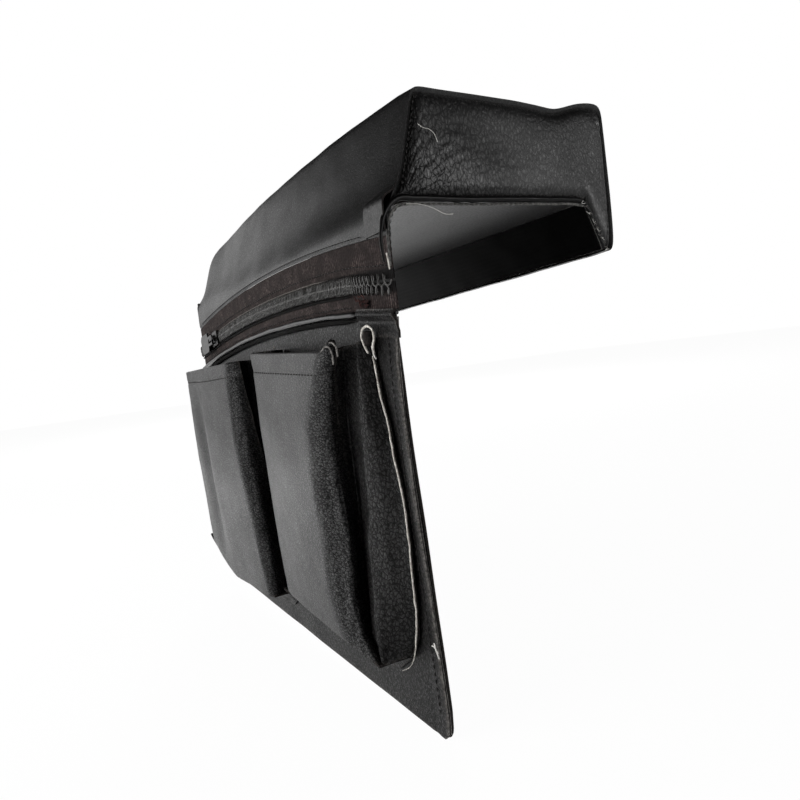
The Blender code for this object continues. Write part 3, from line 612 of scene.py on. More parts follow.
# painted shade: a copy of the black leather with its shine cut down, to paint the shade along the rolled seam
roll_leather_painted_shade = leather_look("roll_leather_painted_shade", BLACK, 0.34, 900, 300, 0.3, 0.00012, specular=0.15, lacquer=0.05)
raw_edge = fibre_look("raw_edge", ((0.30, 0.28, 0.25), (0.55, 0.53, 0.49)), 0.9, 900, 0.0002)
grey_edge = fibre_look("grey_edge", ((0.06, 0.057, 0.053), (0.20, 0.19, 0.18)), 0.85, 900, 0.0002)
dark_edge = fibre_look("dark_edge", ((0.005, 0.0045, 0.004), (0.016, 0.013, 0.012)), 0.85, 1100, 0.0002)
torn_cloth = fibre_look("torn_cloth", ((0.003, 0.0012, 0.0012), (0.022, 0.008, 0.007)), 0.85, 1300, 0.0004)
# painted shadow: a near-black matte cloth for strips laid where shade falls
painted_shadow_cloth = fibre_look("painted_shadow_cloth", ((0.0015, 0.0015, 0.0015), (0.0035, 0.0033, 0.0032)), 0.9, 900, 0.0002)
edge_cloth = fibre_look("edge_cloth", ((0.045, 0.045, 0.043), (0.150, 0.147, 0.140)), 0.55, 700, 0.0002)
tape_cord = fibre_look("tape_cord", ((0.030, 0.026, 0.024), (0.095, 0.085, 0.078)), 0.6, 900, 0.0001)
lining_cloth = woven_look(
    "lining_cloth", ((0.020, 0.020, 0.021), (0.034, 0.034, 0.035), (0.028, 0.027, 0.028)), 0.36, 420, 0.00003,
)
# painted shade: the flap's inner lining is dark cloth made near black and almost unreflecting, to paint the deep
# shade it lies in
flap_cloth_painted_shade = woven_look(
    "flap_cloth_painted_shade", ((0.001, 0.001, 0.001), (0.002, 0.002, 0.002), (0.001, 0.001, 0.001)), 0.36, 380, 0.00003,
    specular=0.05,
)
# the zip tape, with painted shade under its chain
tape_cloth = woven_look(
    "tape_cloth", ((0.010, 0.0070, 0.0066), (0.185, 0.140, 0.129), (0.008, 0.0055, 0.0052)), 0.75, 190, 0.0005,
    specular=0.12, painted_shade=True,
)
tooth_nylon = nylon_look("tooth_nylon", ((0.020, 0.0195, 0.019), (0.085, 0.083, 0.080)), 0.2, 900, 0.00003)
slider_paint = nylon_look(
    "slider_paint", ((0.008, 0.008, 0.008), (0.020, 0.019, 0.019)), 0.24, 700, 0.00003, 0.5,
)
pad_foam = fibre_look("pad_foam", ((0.26, 0.26, 0.25), (0.36, 0.35, 0.33)), 0.95, 600, 0.0004)
black_thread = fibre_look("black_thread", ((0.008, 0.008, 0.008), (0.030, 0.028, 0.027)), 0.6, 2500, 0.00005)
pale_thread = fibre_look("pale_thread", ((0.42, 0.41, 0.39), (0.62, 0.61, 0.58)), 0.75, 2500, 0.00005)
red_thread = fibre_look("red_thread", ((0.014, 0.005, 0.004), (0.050, 0.020, 0.017)), 0.8, 2500, 0.00005)


# Cover

def chain_height(y, offset):
    """Height of the arc that the chain follows, or of one at a distance above it."""
    return CHAIN_CENTRE_Z + np.sqrt((CHAIN_RADIUS + offset) ** 2 - (y - CHAIN_PEAK_Y) ** 2)


def chain_droop(y):
    """The chain's loose near end hangs a little."""
    share = np.clip((DROOP_Y - y) / DROOP_LENGTH, 0, 1)
    return -DROOP * share ** 2 * (3 - 2 * share)


def chain_path(x, places, offset, droop=0):
    """A path that follows the chain at a distance above it, and its hanging end by the share given."""
    heights = chain_height(places, offset) + droop * chain_droop(places)
    return np.stack([np.broadcast_to(x, places.shape), places, heights], axis=1)


def panel_bottom(y):
    """Height of the panel's lower edge, which rises to the far end."""
    return PANEL_LOW + (y - NEAR_Y) / COVER_LENGTH * PANEL_RISE


def crown_at(y):
    """The cushion's rise along the cover, highest a third of the way along."""
    reach = (y - NEAR_Y - CROWN_REACH) / CROWN_REACH
    return 1 + CROWN * (1 - reach ** 2)


def flap_drop(y):
    """How far the flap hangs below the lid, a little more at its far end."""
    return FLAP_DROP + FLAP_DROP_MORE * (y - NEAR_Y) / COVER_LENGTH


def cover_parts(y, rise, lean):
    """The section's parts: side, top and flap, as lines across and up."""
    up = PAD_HEIGHT * rise
    side = [(OUTER_X + across * lean, height * up) for across, height in SIDE_SHARES]
    side[0] = (OUTER_X, FOLD_Z + 0.0014)
    top_x = PANEL_X + lean
    top = [side[-1]] + [(top_x + across * (FLAP_X - top_x), height * up) for across, height in TOP_SHARES]
    flap = [(FLAP_X + across * FLAP_THICKNESS, height * up) for across, height in FLAP_TOP_SHARES]
    drop = flap_drop(y)
    flap += [(FLAP_X + across * FLAP_THICKNESS, -down * drop) for across, down in FLAP_DROP_SHARES]
    return side, top, flap


def cover_line(y, rise, lean, band_low=None):
    """The cover's whole section at a station, from the band above the zip to the flap's foot."""
    side, top, flap = cover_parts(y, rise, lean)
    parts = []
    if band_low is not None:
        parts.append(soft_line([(OUTER_X, band_low), side[0]], BAND_POINTS)[:-1])
    parts.append(soft_line(side, SIDE_POINTS)[:-1])
    parts.append(soft_line(top, TOP_POINTS)[:-1])
    parts.append(soft_line(flap, FLAP_POINTS))
    line = np.concatenate(parts)
    smooth(line, 3)
    if band_low is not None:
        smooth(line[:BAND_REACH], 40)
    return line


def cover_stations():
    """Station, rise and lean along the cover, with the far end rounded off."""
    stations = [(y, crown_at(y), SIDE_LEAN) for y in np.linspace(NEAR_Y, NOSE_START, 76)]
    for angle in np.radians(np.linspace(6, 90, 26)):
        reach = math.sin(angle) ** (2 / NOSE_POWER)
        height = max(math.cos(angle), 0.0) ** (2 / NOSE_POWER)
        y = NOSE_START + NOSE_LENGTH * reach
        stations.append((y, crown_at(y) * height, SIDE_LEAN * (1 - 0.4 * reach ** 2)))
    return stations


def make_cover():
    rows = []
    for y, rise, lean in cover_stations():
        line = cover_line(y, rise, lean, chain_height(y, UPPER_TAPE))
        rows.append(at_station(line, y))
    grid = np.array(rows)
    lumps = 0.00035 * roughen(grid, 0.045, 1) + 0.00016 * roughen(grid, 0.014, 2)
    grid = bump_up(grid, (0, 0, 1), lumps)
    above_edge = grid[:, :, 2] - grid[:, :1, 2]
    grid[:, :30, 0] += EDGE_TUCK * np.exp(-above_edge[:, :30] / EDGE_TUCK_HEIGHT)
    # The near edge's first rows turn in to the seam
    for row, (inset, y) in enumerate(NEAR_TURN):
        line = cover_line(NEAR_Y, 1.0, SIDE_LEAN, chain_height(NEAR_Y, UPPER_TAPE))
        moved = line + right_of(line) * inset
        grid[row, :, 0], grid[row, :, 2] = moved[:, 0], moved[:, 1]
        grid[row, :, 1] = NEAR_Y + y
    piece = leather_piece("cover_leather", grid, (0, 0, 1), LEATHER, [smooth_leather, dark_edge], 0.28)
    declare(grid)
    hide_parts("top_cover", "upper_band")
    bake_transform(piece)


def end_borders(y, inset):
    """Lower and upper border of the sewn end, point for point."""
    outer = cover_line(y, crown_at(y), SIDE_LEAN)
    outer = outer + right_of(outer) * inset
    start = 6
    corner = outer[start]
    ceiling = (FLAP_X + END_CEILING, END_CEILING)
    foot = (FLAP_X + 0.5 * FLAP_THICKNESS + END_CEILING, -flap_drop(y) + FLAP_FOOT)
    turn = len(outer) - FLAP_POINTS
    halves = (
        ([(corner[0], END_CEILING), ceiling], [ceiling, foot]),
        (outer[start:turn + 1], outer[turn:-1]),
    )
    return [np.concatenate([
        soft_line(first, END_TOP_POINTS), soft_line(second, END_FLAP_POINTS)[1:],
    ]) for first, second in halves]


def groove_along(points, route, width):
    """How near each point lies to a route, from 0 to 1 on it."""
    line = soft_line(route, 90)
    gaps = np.linalg.norm(points[..., None, :] - line, axis=-1).min(axis=-1)
    return np.exp(-(gaps / width) ** 2)


def make_end():
    """The sewn end: puffed, and creased out from the corner at the fold."""
    lower, upper = end_borders(NEAR_Y, END_INSET)
    shares = np.linspace(0, 1, 70)[:, None, None]
    flat = lower[None] * (1 - shares) + upper[None] * shares
    span = np.linalg.norm(upper - lower, axis=1)[None]
    shares = shares[:, :, 0]
    edge = np.minimum(shares, 1 - shares) * span
    edge = np.minimum(edge, np.linspace(0, 1, flat.shape[1])[None] * 0.16)
    puff = END_PUFF * (1 - np.exp(-edge / END_PUFF_WIDTH))
    grid = at_station(flat, NEAR_Y)
    away = flat - CREASE_CORNER
    reach = np.linalg.norm(away, axis=2)
    angle = np.arctan2(away[..., 1], away[..., 0])
    polar = np.stack([reach * 0.35, angle * 0.05, np.zeros_like(reach)], axis=2)
    folds = 0.0007 * np.abs(roughen(polar, 0.0042, 4)) + 0.0004 * roughen(polar, 0.0018, 5)
    folds = folds * np.exp(-reach / FOLD_REACH) + 0.0005 * roughen(grid, 0.022, 3)
    seam = groove_along(flat, END_SEAM, 0.00055)
    grid[..., 1] += 0.0019 - puff - folds * np.minimum(edge / 0.004, 1) + 0.0009 * seam
    creased = 0.22 + 0.70 * np.exp(-(reach / CREASE_REACH) ** 2)
    piece = leather_piece("end_leather", grid, (0, -1, 0), LEATHER, [creased_leather, dark_edge], creased)
    declare(grid)
    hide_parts("end_panel")
    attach(piece, "cover")


def make_flap_cap():
    lower, upper = end_borders(HALF_LENGTH, 0.0013)
    lower, upper = lower[END_TOP_POINTS:], upper[END_TOP_POINTS:]
    keep = upper[:, 1] < 0.001
    lower, upper = lower[keep], upper[keep]
    shares = np.linspace(0, 1, 14)[:, None, None]
    flat = lower[None] * (1 - shares) + upper[None] * shares
    grid = at_station(flat, HALF_LENGTH)
    grid[..., 1] -= 0.0004 + 0.0004 * np.cos(np.linspace(-1.5, 1.5, 14))[:, None]
    piece = leather_piece("flap_end_leather", grid, (0, 1, 0), LEATHER, [coarse_leather, dark_edge])
    declare(grid)
    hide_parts("flap_end_cap")
    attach(piece, "cover")


def make_roll():
    """The rolled seam under the sewn end, round the corner and down past the fold, and its piping."""
    y = NEAR_Y + 0.0002
    route = [
        (-0.0640, -0.1468, -0.0230), (-0.0646, -0.1470, -0.0148), (-0.0628, -0.1472, -0.0068),
        (-0.0587, -0.1474, -0.0008), (-0.0540, y, 0.0018), (-0.0480, y, 0.0012),
        (-0.0200, y, 0.0006), (0.0100, y, 0.0010), (0.0380, y, 0.0008), (0.0442, y, 0.0000),
        (0.0478, y, -0.0090), (0.0530, y, -0.0215),
    ]
    path = soft_line(route, 240, 25)
    path = shaken(path, 0.0002, 0.006, 6)
    thick = 0.00125 + 0.0002 * roughen(path, 0.004, 9)
    thick[-70:] *= np.linspace(1, 0.55, 70)
    thick[:45] *= np.linspace(0.4, 1, 45)
    # the roll's leather carries painted shade
    roll = tube_piece("edge_roll", path, thick, roll_leather_painted_shade, 14)
    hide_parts("end_seam")
    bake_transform(roll)
    y = NEAR_Y + 0.0008
    route = [
        (-0.0612, -0.1466, -0.0245), (-0.0612, -0.1470, -0.0150), (-0.0600, y, -0.0068),
        (-0.0566, y, -0.0022), (-0.0520, y, -0.0010), (-0.0200, y, -0.0012), (0.0100, y, -0.0009),
        (0.0380, y, -0.0010), (0.0432, y, -0.0018),
    ]
    path = soft_line(route, 200, 20)
    path = shaken(path, 0.00012, 0.005, 41)
    piping = tube_piece("lining_edge", path, 0.0006 + 0.0001 * roughen(path, 0.003, 44), edge_cloth, 10)
    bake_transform(piping)
    stitches = stitch_piece(
        "lining_edge_stitches", path[8:150] + np.array((0.0006, -0.0006, -0.0001)), (0, -1, -0.3), 0.0026,
        black_thread, radius=0.00018,
    )
    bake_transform(stitches)


def make_linings():
    """Ceiling under the pad, curled down at the fold, and the inner face of the flap."""
    rows = []
    for y in np.linspace(LINING_START, HALF_LENGTH - 0.003, 90):
        curl = [(PANEL_X + across, down) for across, down in LINING_CURL]
        line = soft_line(curl + [(FLAP_X - 0.0003, 0.0)], 70, 2)
        rows.append(at_station(line, y))
    grid = np.array(rows)
    inside = np.minimum(1, (FLAP_X - grid[..., 0]) / 0.01) * np.minimum(1, (grid[..., 1] - NEAR_Y) / 0.01)
    sag = 0.00025 * roughen(grid, 0.03, 11) + 0.00012 * roughen(grid, 0.008, 12)
    grid[..., 2] += sag * inside
    ceiling = leather_piece("ceiling_lining", grid, (0, 0, -1), LINING, [lining_cloth, dark_edge])
    declare(grid)
    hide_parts("pad_lining")
    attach(ceiling, "cover")
    rows = []
    for y in np.linspace(LINING_START, HALF_LENGTH - 0.0015, 80):
        foot = (FLAP_X + 0.5 * FLAP_THICKNESS, -flap_drop(y) + FLAP_FOOT)
        line = soft_line([(FLAP_X, -0.0003), foot], 26)
        rows.append(at_station(line, y))
    grid = np.array(rows)
    grid[..., 0] += 0.0003 * roughen(grid, 0.02, 13)
    # the flap's inner face carries painted shade in its cloth
    inner = leather_piece("flap_inner_lining", grid, (-1, 0, -0.3), LINING, [flap_cloth_painted_shade, dark_edge])
    declare(grid)
    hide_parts("flap_lining")
    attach(inner, "cover")


def make_corner_tab():
    """The raw-cut patch that wraps the corner beside the sewn end."""
    rows = []
    for y in np.linspace(NEAR_Y - 0.0004, NEAR_Y + 0.0170, 40):
        side, _, _ = cover_parts(y, crown_at(y), SIDE_LEAN)
        line = soft_line([(OUTER_X, -0.0110)] + side[:5], 44, 8)
        line = line - right_of(line) * 0.0009
        rows.append(at_station(line, y))
    grid = np.array(rows)
    far = (grid[..., 1] - NEAR_Y) / 0.017
    lift = 0.00016 * roughen(grid, 0.006, 14) + 0.00006 * roughen(grid, 0.0024, 15) + 0.0003
    lift = lift - 0.0010 * np.clip(far - 0.9, 0, 1) * 10
    grid = bump_up(grid, (-1, 0, 0), lift)
    piece = leather_piece("corner_patch", grid, (-1, 0, 0), LINING, [smooth_leather, dark_edge], 0.28)
    declare(grid)
    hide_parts("corner_tab")
    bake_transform(piece)


# Hanging panel

def edge_inset(share):
    return EDGE_INSET * np.interp(share, [s for s, _ in EDGE_SHARES], [d for _, d in EDGE_SHARES])


def panel_grid(x, top):
    """A layer of the panel from its top line down, with its near edge cut to shape."""
    rows, columns = 90, 100
    grid = np.zeros((rows, columns, 3))
    for row, share in enumerate(np.linspace(0, 1, rows)):
        places = np.linspace(NEAR_Y + edge_inset(share), HALF_LENGTH, columns)
        high = top(places)
        grid[row, :, 0] = x
        grid[row, :, 1] = places
        grid[row, :, 2] = high + (panel_bottom(places) - high) * share
    return grid


def make_panel():
    grid = panel_grid(OUTER_X, lambda y: chain_height(y, PANEL_TOP))
    wave = 0.00035 * roughen(grid, 0.03, 21)
    below_top = chain_height(grid[..., 1], PANEL_TOP) - grid[..., 2]
    wave = wave - 0.0007 * np.exp(-(below_top / 0.0035) ** 2)
    groove = np.exp(-((grid[..., 1] - NEAR_Y - edge_inset(0.3) - 0.0045) / 0.0007) ** 2)
    grid = bump_up(grid, (-1, 0, 0), wave - 0.0003 * groove)
    outer = leather_piece("panel_leather", grid, (-1, 0, 0), LEATHER, [coarse_leather, grey_edge], 0.5)
    declare(grid)
    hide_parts("outer_panel")
    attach(outer, "panel")
    top = FOLD_Z - 0.0021
    grid = panel_grid(PANEL_BACK_X, lambda y: np.full(np.shape(y), top))
    grid = bump_up(grid, (1, 0, 0), 0.0003 * roughen(grid, 0.04, 22))
    back = leather_piece("panel_back", grid, (1, 0, 0), LEATHER, [smooth_leather, dark_edge])
    declare(grid)
    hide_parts("back_panel")
    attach(back, "panel")
    strips = (
        ("near_turning", "near_allowance", NEAR_Y + 0.0002, NEAR_Y + 0.0080, 1),
        ("far_turning", "far_allowance", 0.1395, HALF_LENGTH - 0.0002, 0),
    )
    for name, node, near, far, shaped in strips:
        rows = []
        for share in np.linspace(0, 1, 70):
            shift = edge_inset(share) * shaped
            places = np.linspace(near + shift, far + shift, 8)
            high = chain_height(places, PANEL_TOP)
            rows.append([(TURNING_X, y, h + (panel_bottom(y) - h) * share) for y, h in zip(places, high)])
        grid = np.array(rows)
        strip = leather_piece(name, grid, (-1, 0, 0), TURNING, [coarse_leather, grey_edge])
        declare(grid)
        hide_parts(node)
        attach(strip, "panel")
    places = np.linspace(-0.1325, 0.1392, 80)
    lifts = np.linspace(0.008, 0.0001, 8)
    grid = np.array([[(TURNING_X, y, panel_bottom(y) + lift) for y in places] for lift in lifts])
    strip = leather_piece("bottom_turning", grid, (-1, 0, 0), TURNING, [coarse_leather, grey_edge])
    declare(grid)
    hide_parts("bottom_allowance")
    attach(strip, "panel")


def make_tapes():
    bands = (
        ("zip_tape_upper", "upper_tape", UPPER_TAPE - 0.0003, 0.0006),
        ("zip_tape_lower", "lower_tape", -0.0006, LOWER_TAPE),
    )
    for name, node, high, low in bands:
        places = np.linspace(NEAR_Y, HALF_LENGTH, 160)
        grid = np.array([chain_path(TAPE_X, places, offset) for offset in np.linspace(high, low, 22)])
        grid = bump_up(grid, (-1, 0, 0), 0.00012 * roughen(grid, 0.01, 23))
        tape = leather_piece(name, grid, (-1, 0, 0), TAPE, [tape_cloth])
        declare(grid)
        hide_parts(node)
        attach(tape, "panel")


def undone_at(y):
    """How far the chain's near end has come undone, from 0 to 1."""
    return np.clip((LOOSE_Y - y) / LOOSE_LENGTH, 0, 1)


def coil_turns(phase):
    """Angle and place along the chain of a coil's wire, drawn out where its near end has come undone."""
    angles, places = [], []
    angle, y = phase, HALF_LENGTH - 0.0006
    while y > NEAR_Y + 0.0008:
        angles.append(angle)
        places.append(y)
        y -= (TOOTH_PITCH + LOOSE_PITCH * undone_at(y) ** 0.85) / TURN_STEPS
        angle += 2 * math.pi / TURN_STEPS
    return np.array(angles), np.array(places)


def make_teeth():
    """The two coils, each a wire wound round and round along the chain."""
    for name, node, side in (("teeth_upper", "upper_coil", 1), ("teeth_lower", "lower_coil", -1)):
        angle, places = coil_turns(0 if side > 0 else math.pi)
        undone = undone_at(places)
        across = side * (0.00170 + 0.00205 * np.cos(angle)) * (1 + 0.10 * undone)
        head = np.exp(-((np.cos(angle) + 1) / 0.35) ** 2)
        depth = COIL_X - 0.0009 * np.sin(angle) - 0.0003 * undone - 0.0007 * head * (1 - undone)
        path = chain_path(depth, places, across, 1)
        path = shaken(path, 0.00012 * undone[:, None], 0.002, 61)
        thick = TOOTH_RADIUS * (1 + 0.45 * head * (1 - undone) + 0.25 * undone)
        coil = tube_piece(name, path, thick, tooth_nylon, 5)
        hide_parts(node)
        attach(coil, "panel")


def make_ridge():
    """The turned leather edge under the zip, standing proud, with painted shadow strips in the recess beneath it
    and beneath the chain.
    """
    places = np.linspace(NEAR_Y + 0.0003, HALF_LENGTH - 0.0003, 260)
    path = chain_path(PANEL_X - 0.0014, places, ROLL_OFFSET)
    path[:, 2] += 0.0003 * roughen(path, 0.02, 24)
    thick = 0.0016 + 0.00015 * roughen(path, 0.006, 25)
    hidden = np.clip((-0.1138 - places) / 0.0012, 0, 1)
    thick *= 1 - 0.6 * hidden
    path[:, 0] += 0.0010 * hidden
    # painted shadow: near-black strips under the ridge and under the chain, and a pale cord along the chain
    lines = (
        ("ridge_painted_shadow", -0.0150, -0.0617, 0.00135, painted_shadow_cloth, -0.1135),
        ("chain_painted_shadow", -0.0049, -0.0616, 0.00055, painted_shadow_cloth, -0.1130),
        ("chain_cord", 0.0043, -0.0619, 0.00032, tape_cord, -0.0900),
    )
    for name, offset, x, radius, look, near in lines:
        spots = np.linspace(near, HALF_LENGTH - 0.0008, 160)
        line = chain_path(x, spots, offset)
        line[:, 2] += 0.0002 * roughen(line, 0.01, 28)
        bar = tube_piece(name, line, radius * np.clip((spots - near) / 0.012, 0.12, 1), look, 8)
        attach(bar, "panel")
    ridge = tube_piece("zip_ridge", path, thick, ridge_leather, 14)
    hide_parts("zip_roll")
    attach(ridge, "panel")


def make_end_patch():
    """The patch over the zip's near end, turned over at its top and sewn down to the panel."""
    places = np.linspace(NEAR_Y + 0.0004, NEAR_Y + PATCH_LENGTH, 60)
    offsets = np.linspace(-0.0102, -0.0215, 44)
    grid = np.array([chain_path(PATCH_X, places, offset, 0.4) for offset in offsets])
    across = (grid[..., 1] - NEAR_Y) / PATCH_LENGTH
    low = offsets[:, None]
    turned = np.exp(-((low + 0.0124) / 0.0013) ** 2)
    stitched = np.exp(-((low - PATCH_SEAM) / 0.0006) ** 2)
    border = np.exp(-(1 - across) / 0.02)
    lift = 0.0011 * turned - 0.0005 * stitched - 0.0006 * border + 0.00025 * roughen(grid, 0.005, 26)
    grid[..., 0] += 0.0011 * np.clip((-low - 0.0150) / 0.004, 0, 1)
    grid = bump_up(grid, (-1, 0, 0), lift)
    patch = leather_piece("end_patch", grid, (-1, 0, 0), LEATHER, [coarse_leather, dark_edge], 0.6)
    declare(grid)
    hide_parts("zip_end_patch")
    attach(patch, "panel")
    row = int(np.argmin(np.abs(offsets - PATCH_SEAM)))
    stitches = stitch_piece("end_patch_stitches", grid[row, 2:-4], (-1, 0, 0), 0.0030, black_thread)
    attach(stitches, "panel")
    rows = []
    rng = np.random.default_rng(12)
    for offset in np.linspace(-0.0062, -0.0092, 10):
        frayed = rng.uniform(-0.0012, 0.0012, 2)
        spots = np.linspace(-0.1290 - offset * 0.4 + frayed[0], -0.1175 + offset * 0.25 + frayed[1], 22)
        rows.append(chain_path(TORN_X, spots, offset, 1))
    grid = np.array(rows)
    scrap = bump_up(grid, (-1, 0, 0), 0.0007 * roughen(grid, 0.003, 27))
    torn = leather_piece("torn_tape", scrap, (-1, 0, 0), 0.0003, [torn_cloth])
    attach(torn, "panel")


# Pockets

class Pocket:
    """Place and shape of one pocket. Its form gives, down its height and in millimetres, the ridge
    where the front turns back, the corner, the valley, the pleat's crest and its cut edge."""

    def __init__(self, name, body, start, end, flare, drops, margins, lift, crease, ear, form):
        self.name = name
        self.body = body
        self.start = start
        self.end = end
        self.flare = flare
        self.lift = lift
        self.crease = crease
        self.ear = ear
        self.form = np.array(form, float)
        self.tops = [chain_height(y, ROLL_OFFSET) - drop for y, drop in zip((start, end), drops)]
        self.bottoms = [panel_bottom(y) + margin for y, margin in zip((start, end), margins)]

    def near_end(self, share):
        """Where the near side meets the panel, further out toward the bottom."""
        return self.start - self.flare * share

    def spot(self, share, column):
        """A point of the form in plan, at a share of the height."""
        shares = self.form[:, 0]
        return tuple(np.interp(share, shares, self.form[:, column + step]) / 1000 for step in (0, 1))

    def height(self, y, share):
        """Height at a share of the way down, between the sloping top and bottom edges."""
        across = (y - self.start) / (self.end - self.start)
        top = self.tops[0] + (self.tops[1] - self.tops[0]) * across
        bottom = self.bottoms[0] + (self.bottoms[1] - self.bottoms[0]) * across
        bottom = bottom + self.lift * (np.maximum(across - 0.5, 0) / 0.5) ** 1.4
        return top + (bottom - top) * share

    def face_x(self, share):
        """Where the front stands, nearer to the panel toward the bottom."""
        return OUTER_X - (STANDOFF_TOP + (STANDOFF_BOTTOM - STANDOFF_TOP) * share)

    def near_seam(self, share):
        """Where the front ends and its near side begins, clear of the panel when the front leans in."""
        corner, valley = self.spot(share, 3), self.spot(share, 5)
        limit = SEAM_LIMIT + SEAM_LIMIT_DROP * share
        part = min((limit - corner[0]) / (valley[0] - corner[0]), 1.0)
        return tuple(a + (b - a) * part for a, b in zip(corner, valley))

    def far_reach(self, share):
        """How far in the front's far end turns, clear of the panel when the front leans in."""
        return POCKET_RETURN * (0.75 + 0.75 * min(2 * share, 1.0))

    def plan(self, share):
        """The front's outer face in plan at a share of its height, from the seam at its near end."""
        face = self.face_x(share)
        back = self.far_reach(share) / 1.5
        ridge, corner = (self.spot(share, column) for column in (1, 3))
        line = [
            self.near_seam(share), (corner[0] + 0.0012, corner[1] + 0.0004), (corner[0], corner[1] + 0.0010),
            (ridge[0] * 0.45 + corner[0] * 0.55, (ridge[1] + corner[1]) / 2),
        ]
        width = self.end - ridge[1]
        for across in np.linspace(0, width - 0.006, 26):
            part = across / width
            bulge = POCKET_CROWN * math.sin(math.pi * part) * math.sin(math.pi * share)
            bulge = bulge + (face - ridge[0]) * (1 - part)
            if self.crease:
                beside = (across - self.crease * width) / CREASE_WIDTH
                bulge -= CREASE_DEPTH * math.exp(-beside ** 2) * math.sin(math.pi * share)
            line.append((face - bulge, ridge[1] + across))
        line += [
            (face + 0.0008, self.end - 0.0032), (face + 0.4 * back, self.end - 0.0006),
            (face + 0.8 * back, self.end), (face + 1.5 * back, self.end - 0.0016),
        ]
        return soft_line(line, 130, 4)

    def turned(self, grid, share):
        """How much of a row's points lie in the turned band beside its near end."""
        ridge = self.spot(share, 1)[1]
        return np.clip((ridge + TURNED_WIDTH - grid[:, 1]) / TURNED_FADE, 0, 1) ** 1.3


def front_grid(pocket):
    """Rows of the front from the hem's inner edge, over the top fold and down to the bottom."""
    tall = pocket.tops[0] - pocket.bottoms[0]
    steps = []
    for down in np.linspace(HEM, FOLD_RADIUS * 1.4, 8):
        steps.append((down, 2 * FOLD_RADIUS))
    for angle in np.linspace(math.pi, 0, 9):
        steps.append((FOLD_RADIUS * (1 - math.sin(angle)), FOLD_RADIUS * (1 - math.cos(angle))))
    for down in np.linspace(FOLD_RADIUS * 1.6, tall, 80):
        steps.append((down, 0.0))
    rows = []
    for down, inset in steps:
        share = min(down / tall, 1.0)
        plan = pocket.plan(share)
        moved = plan + right_of(plan) * inset
        x, y = moved.T
        raised = pocket.ear * max(0.0, 1 - down / EAR_HEIGHT) ** 2 * np.exp(-((y - EAR_Y) / EAR_WIDTH) ** 2)
        rows.append(np.stack([x, y, pocket.height(y, share) + raised], axis=1))
    return np.array(rows), np.array([down for down, _ in steps]), np.array([inset for _, inset in steps])


def turned_band(pocket, grid, shares):
    """How much of each point of the front lies in the turned band beside its near end."""
    return np.array([pocket.turned(row, share) for row, share in zip(grid, shares)])


def make_front(pocket):
    grid, down, inset = front_grid(pocket)
    outer = (inset == 0)[:, None]
    seam = np.exp(-((down - HEM) / 0.0009) ** 2)[:, None]
    low = np.clip((down - 0.012) / 0.02, 0, 1)[:, None]
    folds = 0.0004 * roughen(grid, 0.03, 31) + low * 0.00010 * roughen(grid, 0.011, 32)
    stretch = np.array((1.0, 1.0, 0.4))
    tall = pocket.tops[0] - pocket.bottoms[0]
    band = turned_band(pocket, grid, down / tall)
    folds = folds + low * (0.00006 + 0.0007 * band) * roughen(grid * stretch, 0.006, 33)
    grid = bump_up(grid, (-1, 0, 0), outer * (folds - 0.0006 * seam))
    plain = 0.24 if pocket.ear else 0.42
    creased = plain + (0.9 - plain) * turned_band(pocket, grid, down / tall)
    front = leather_piece(
        pocket.name + "_leather", grid, (-1, 0, 0), LEATHER, [pocket_leather, dark_edge], creased,
    )
    declare(grid)
    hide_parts(pocket.name + "_front", pocket.name + "_hem")
    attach(front, pocket.body)
    row = int(np.argmin(np.abs(down - HEM) + 10 * (inset > 0)))
    line = grid[row, 4:-4]
    stitches = stitch_piece(
        pocket.name + "_hem_stitches", line, (-1, 0, 0), 0.0033, black_thread, radius=0.00032,
    )
    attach(stitches, pocket.body)


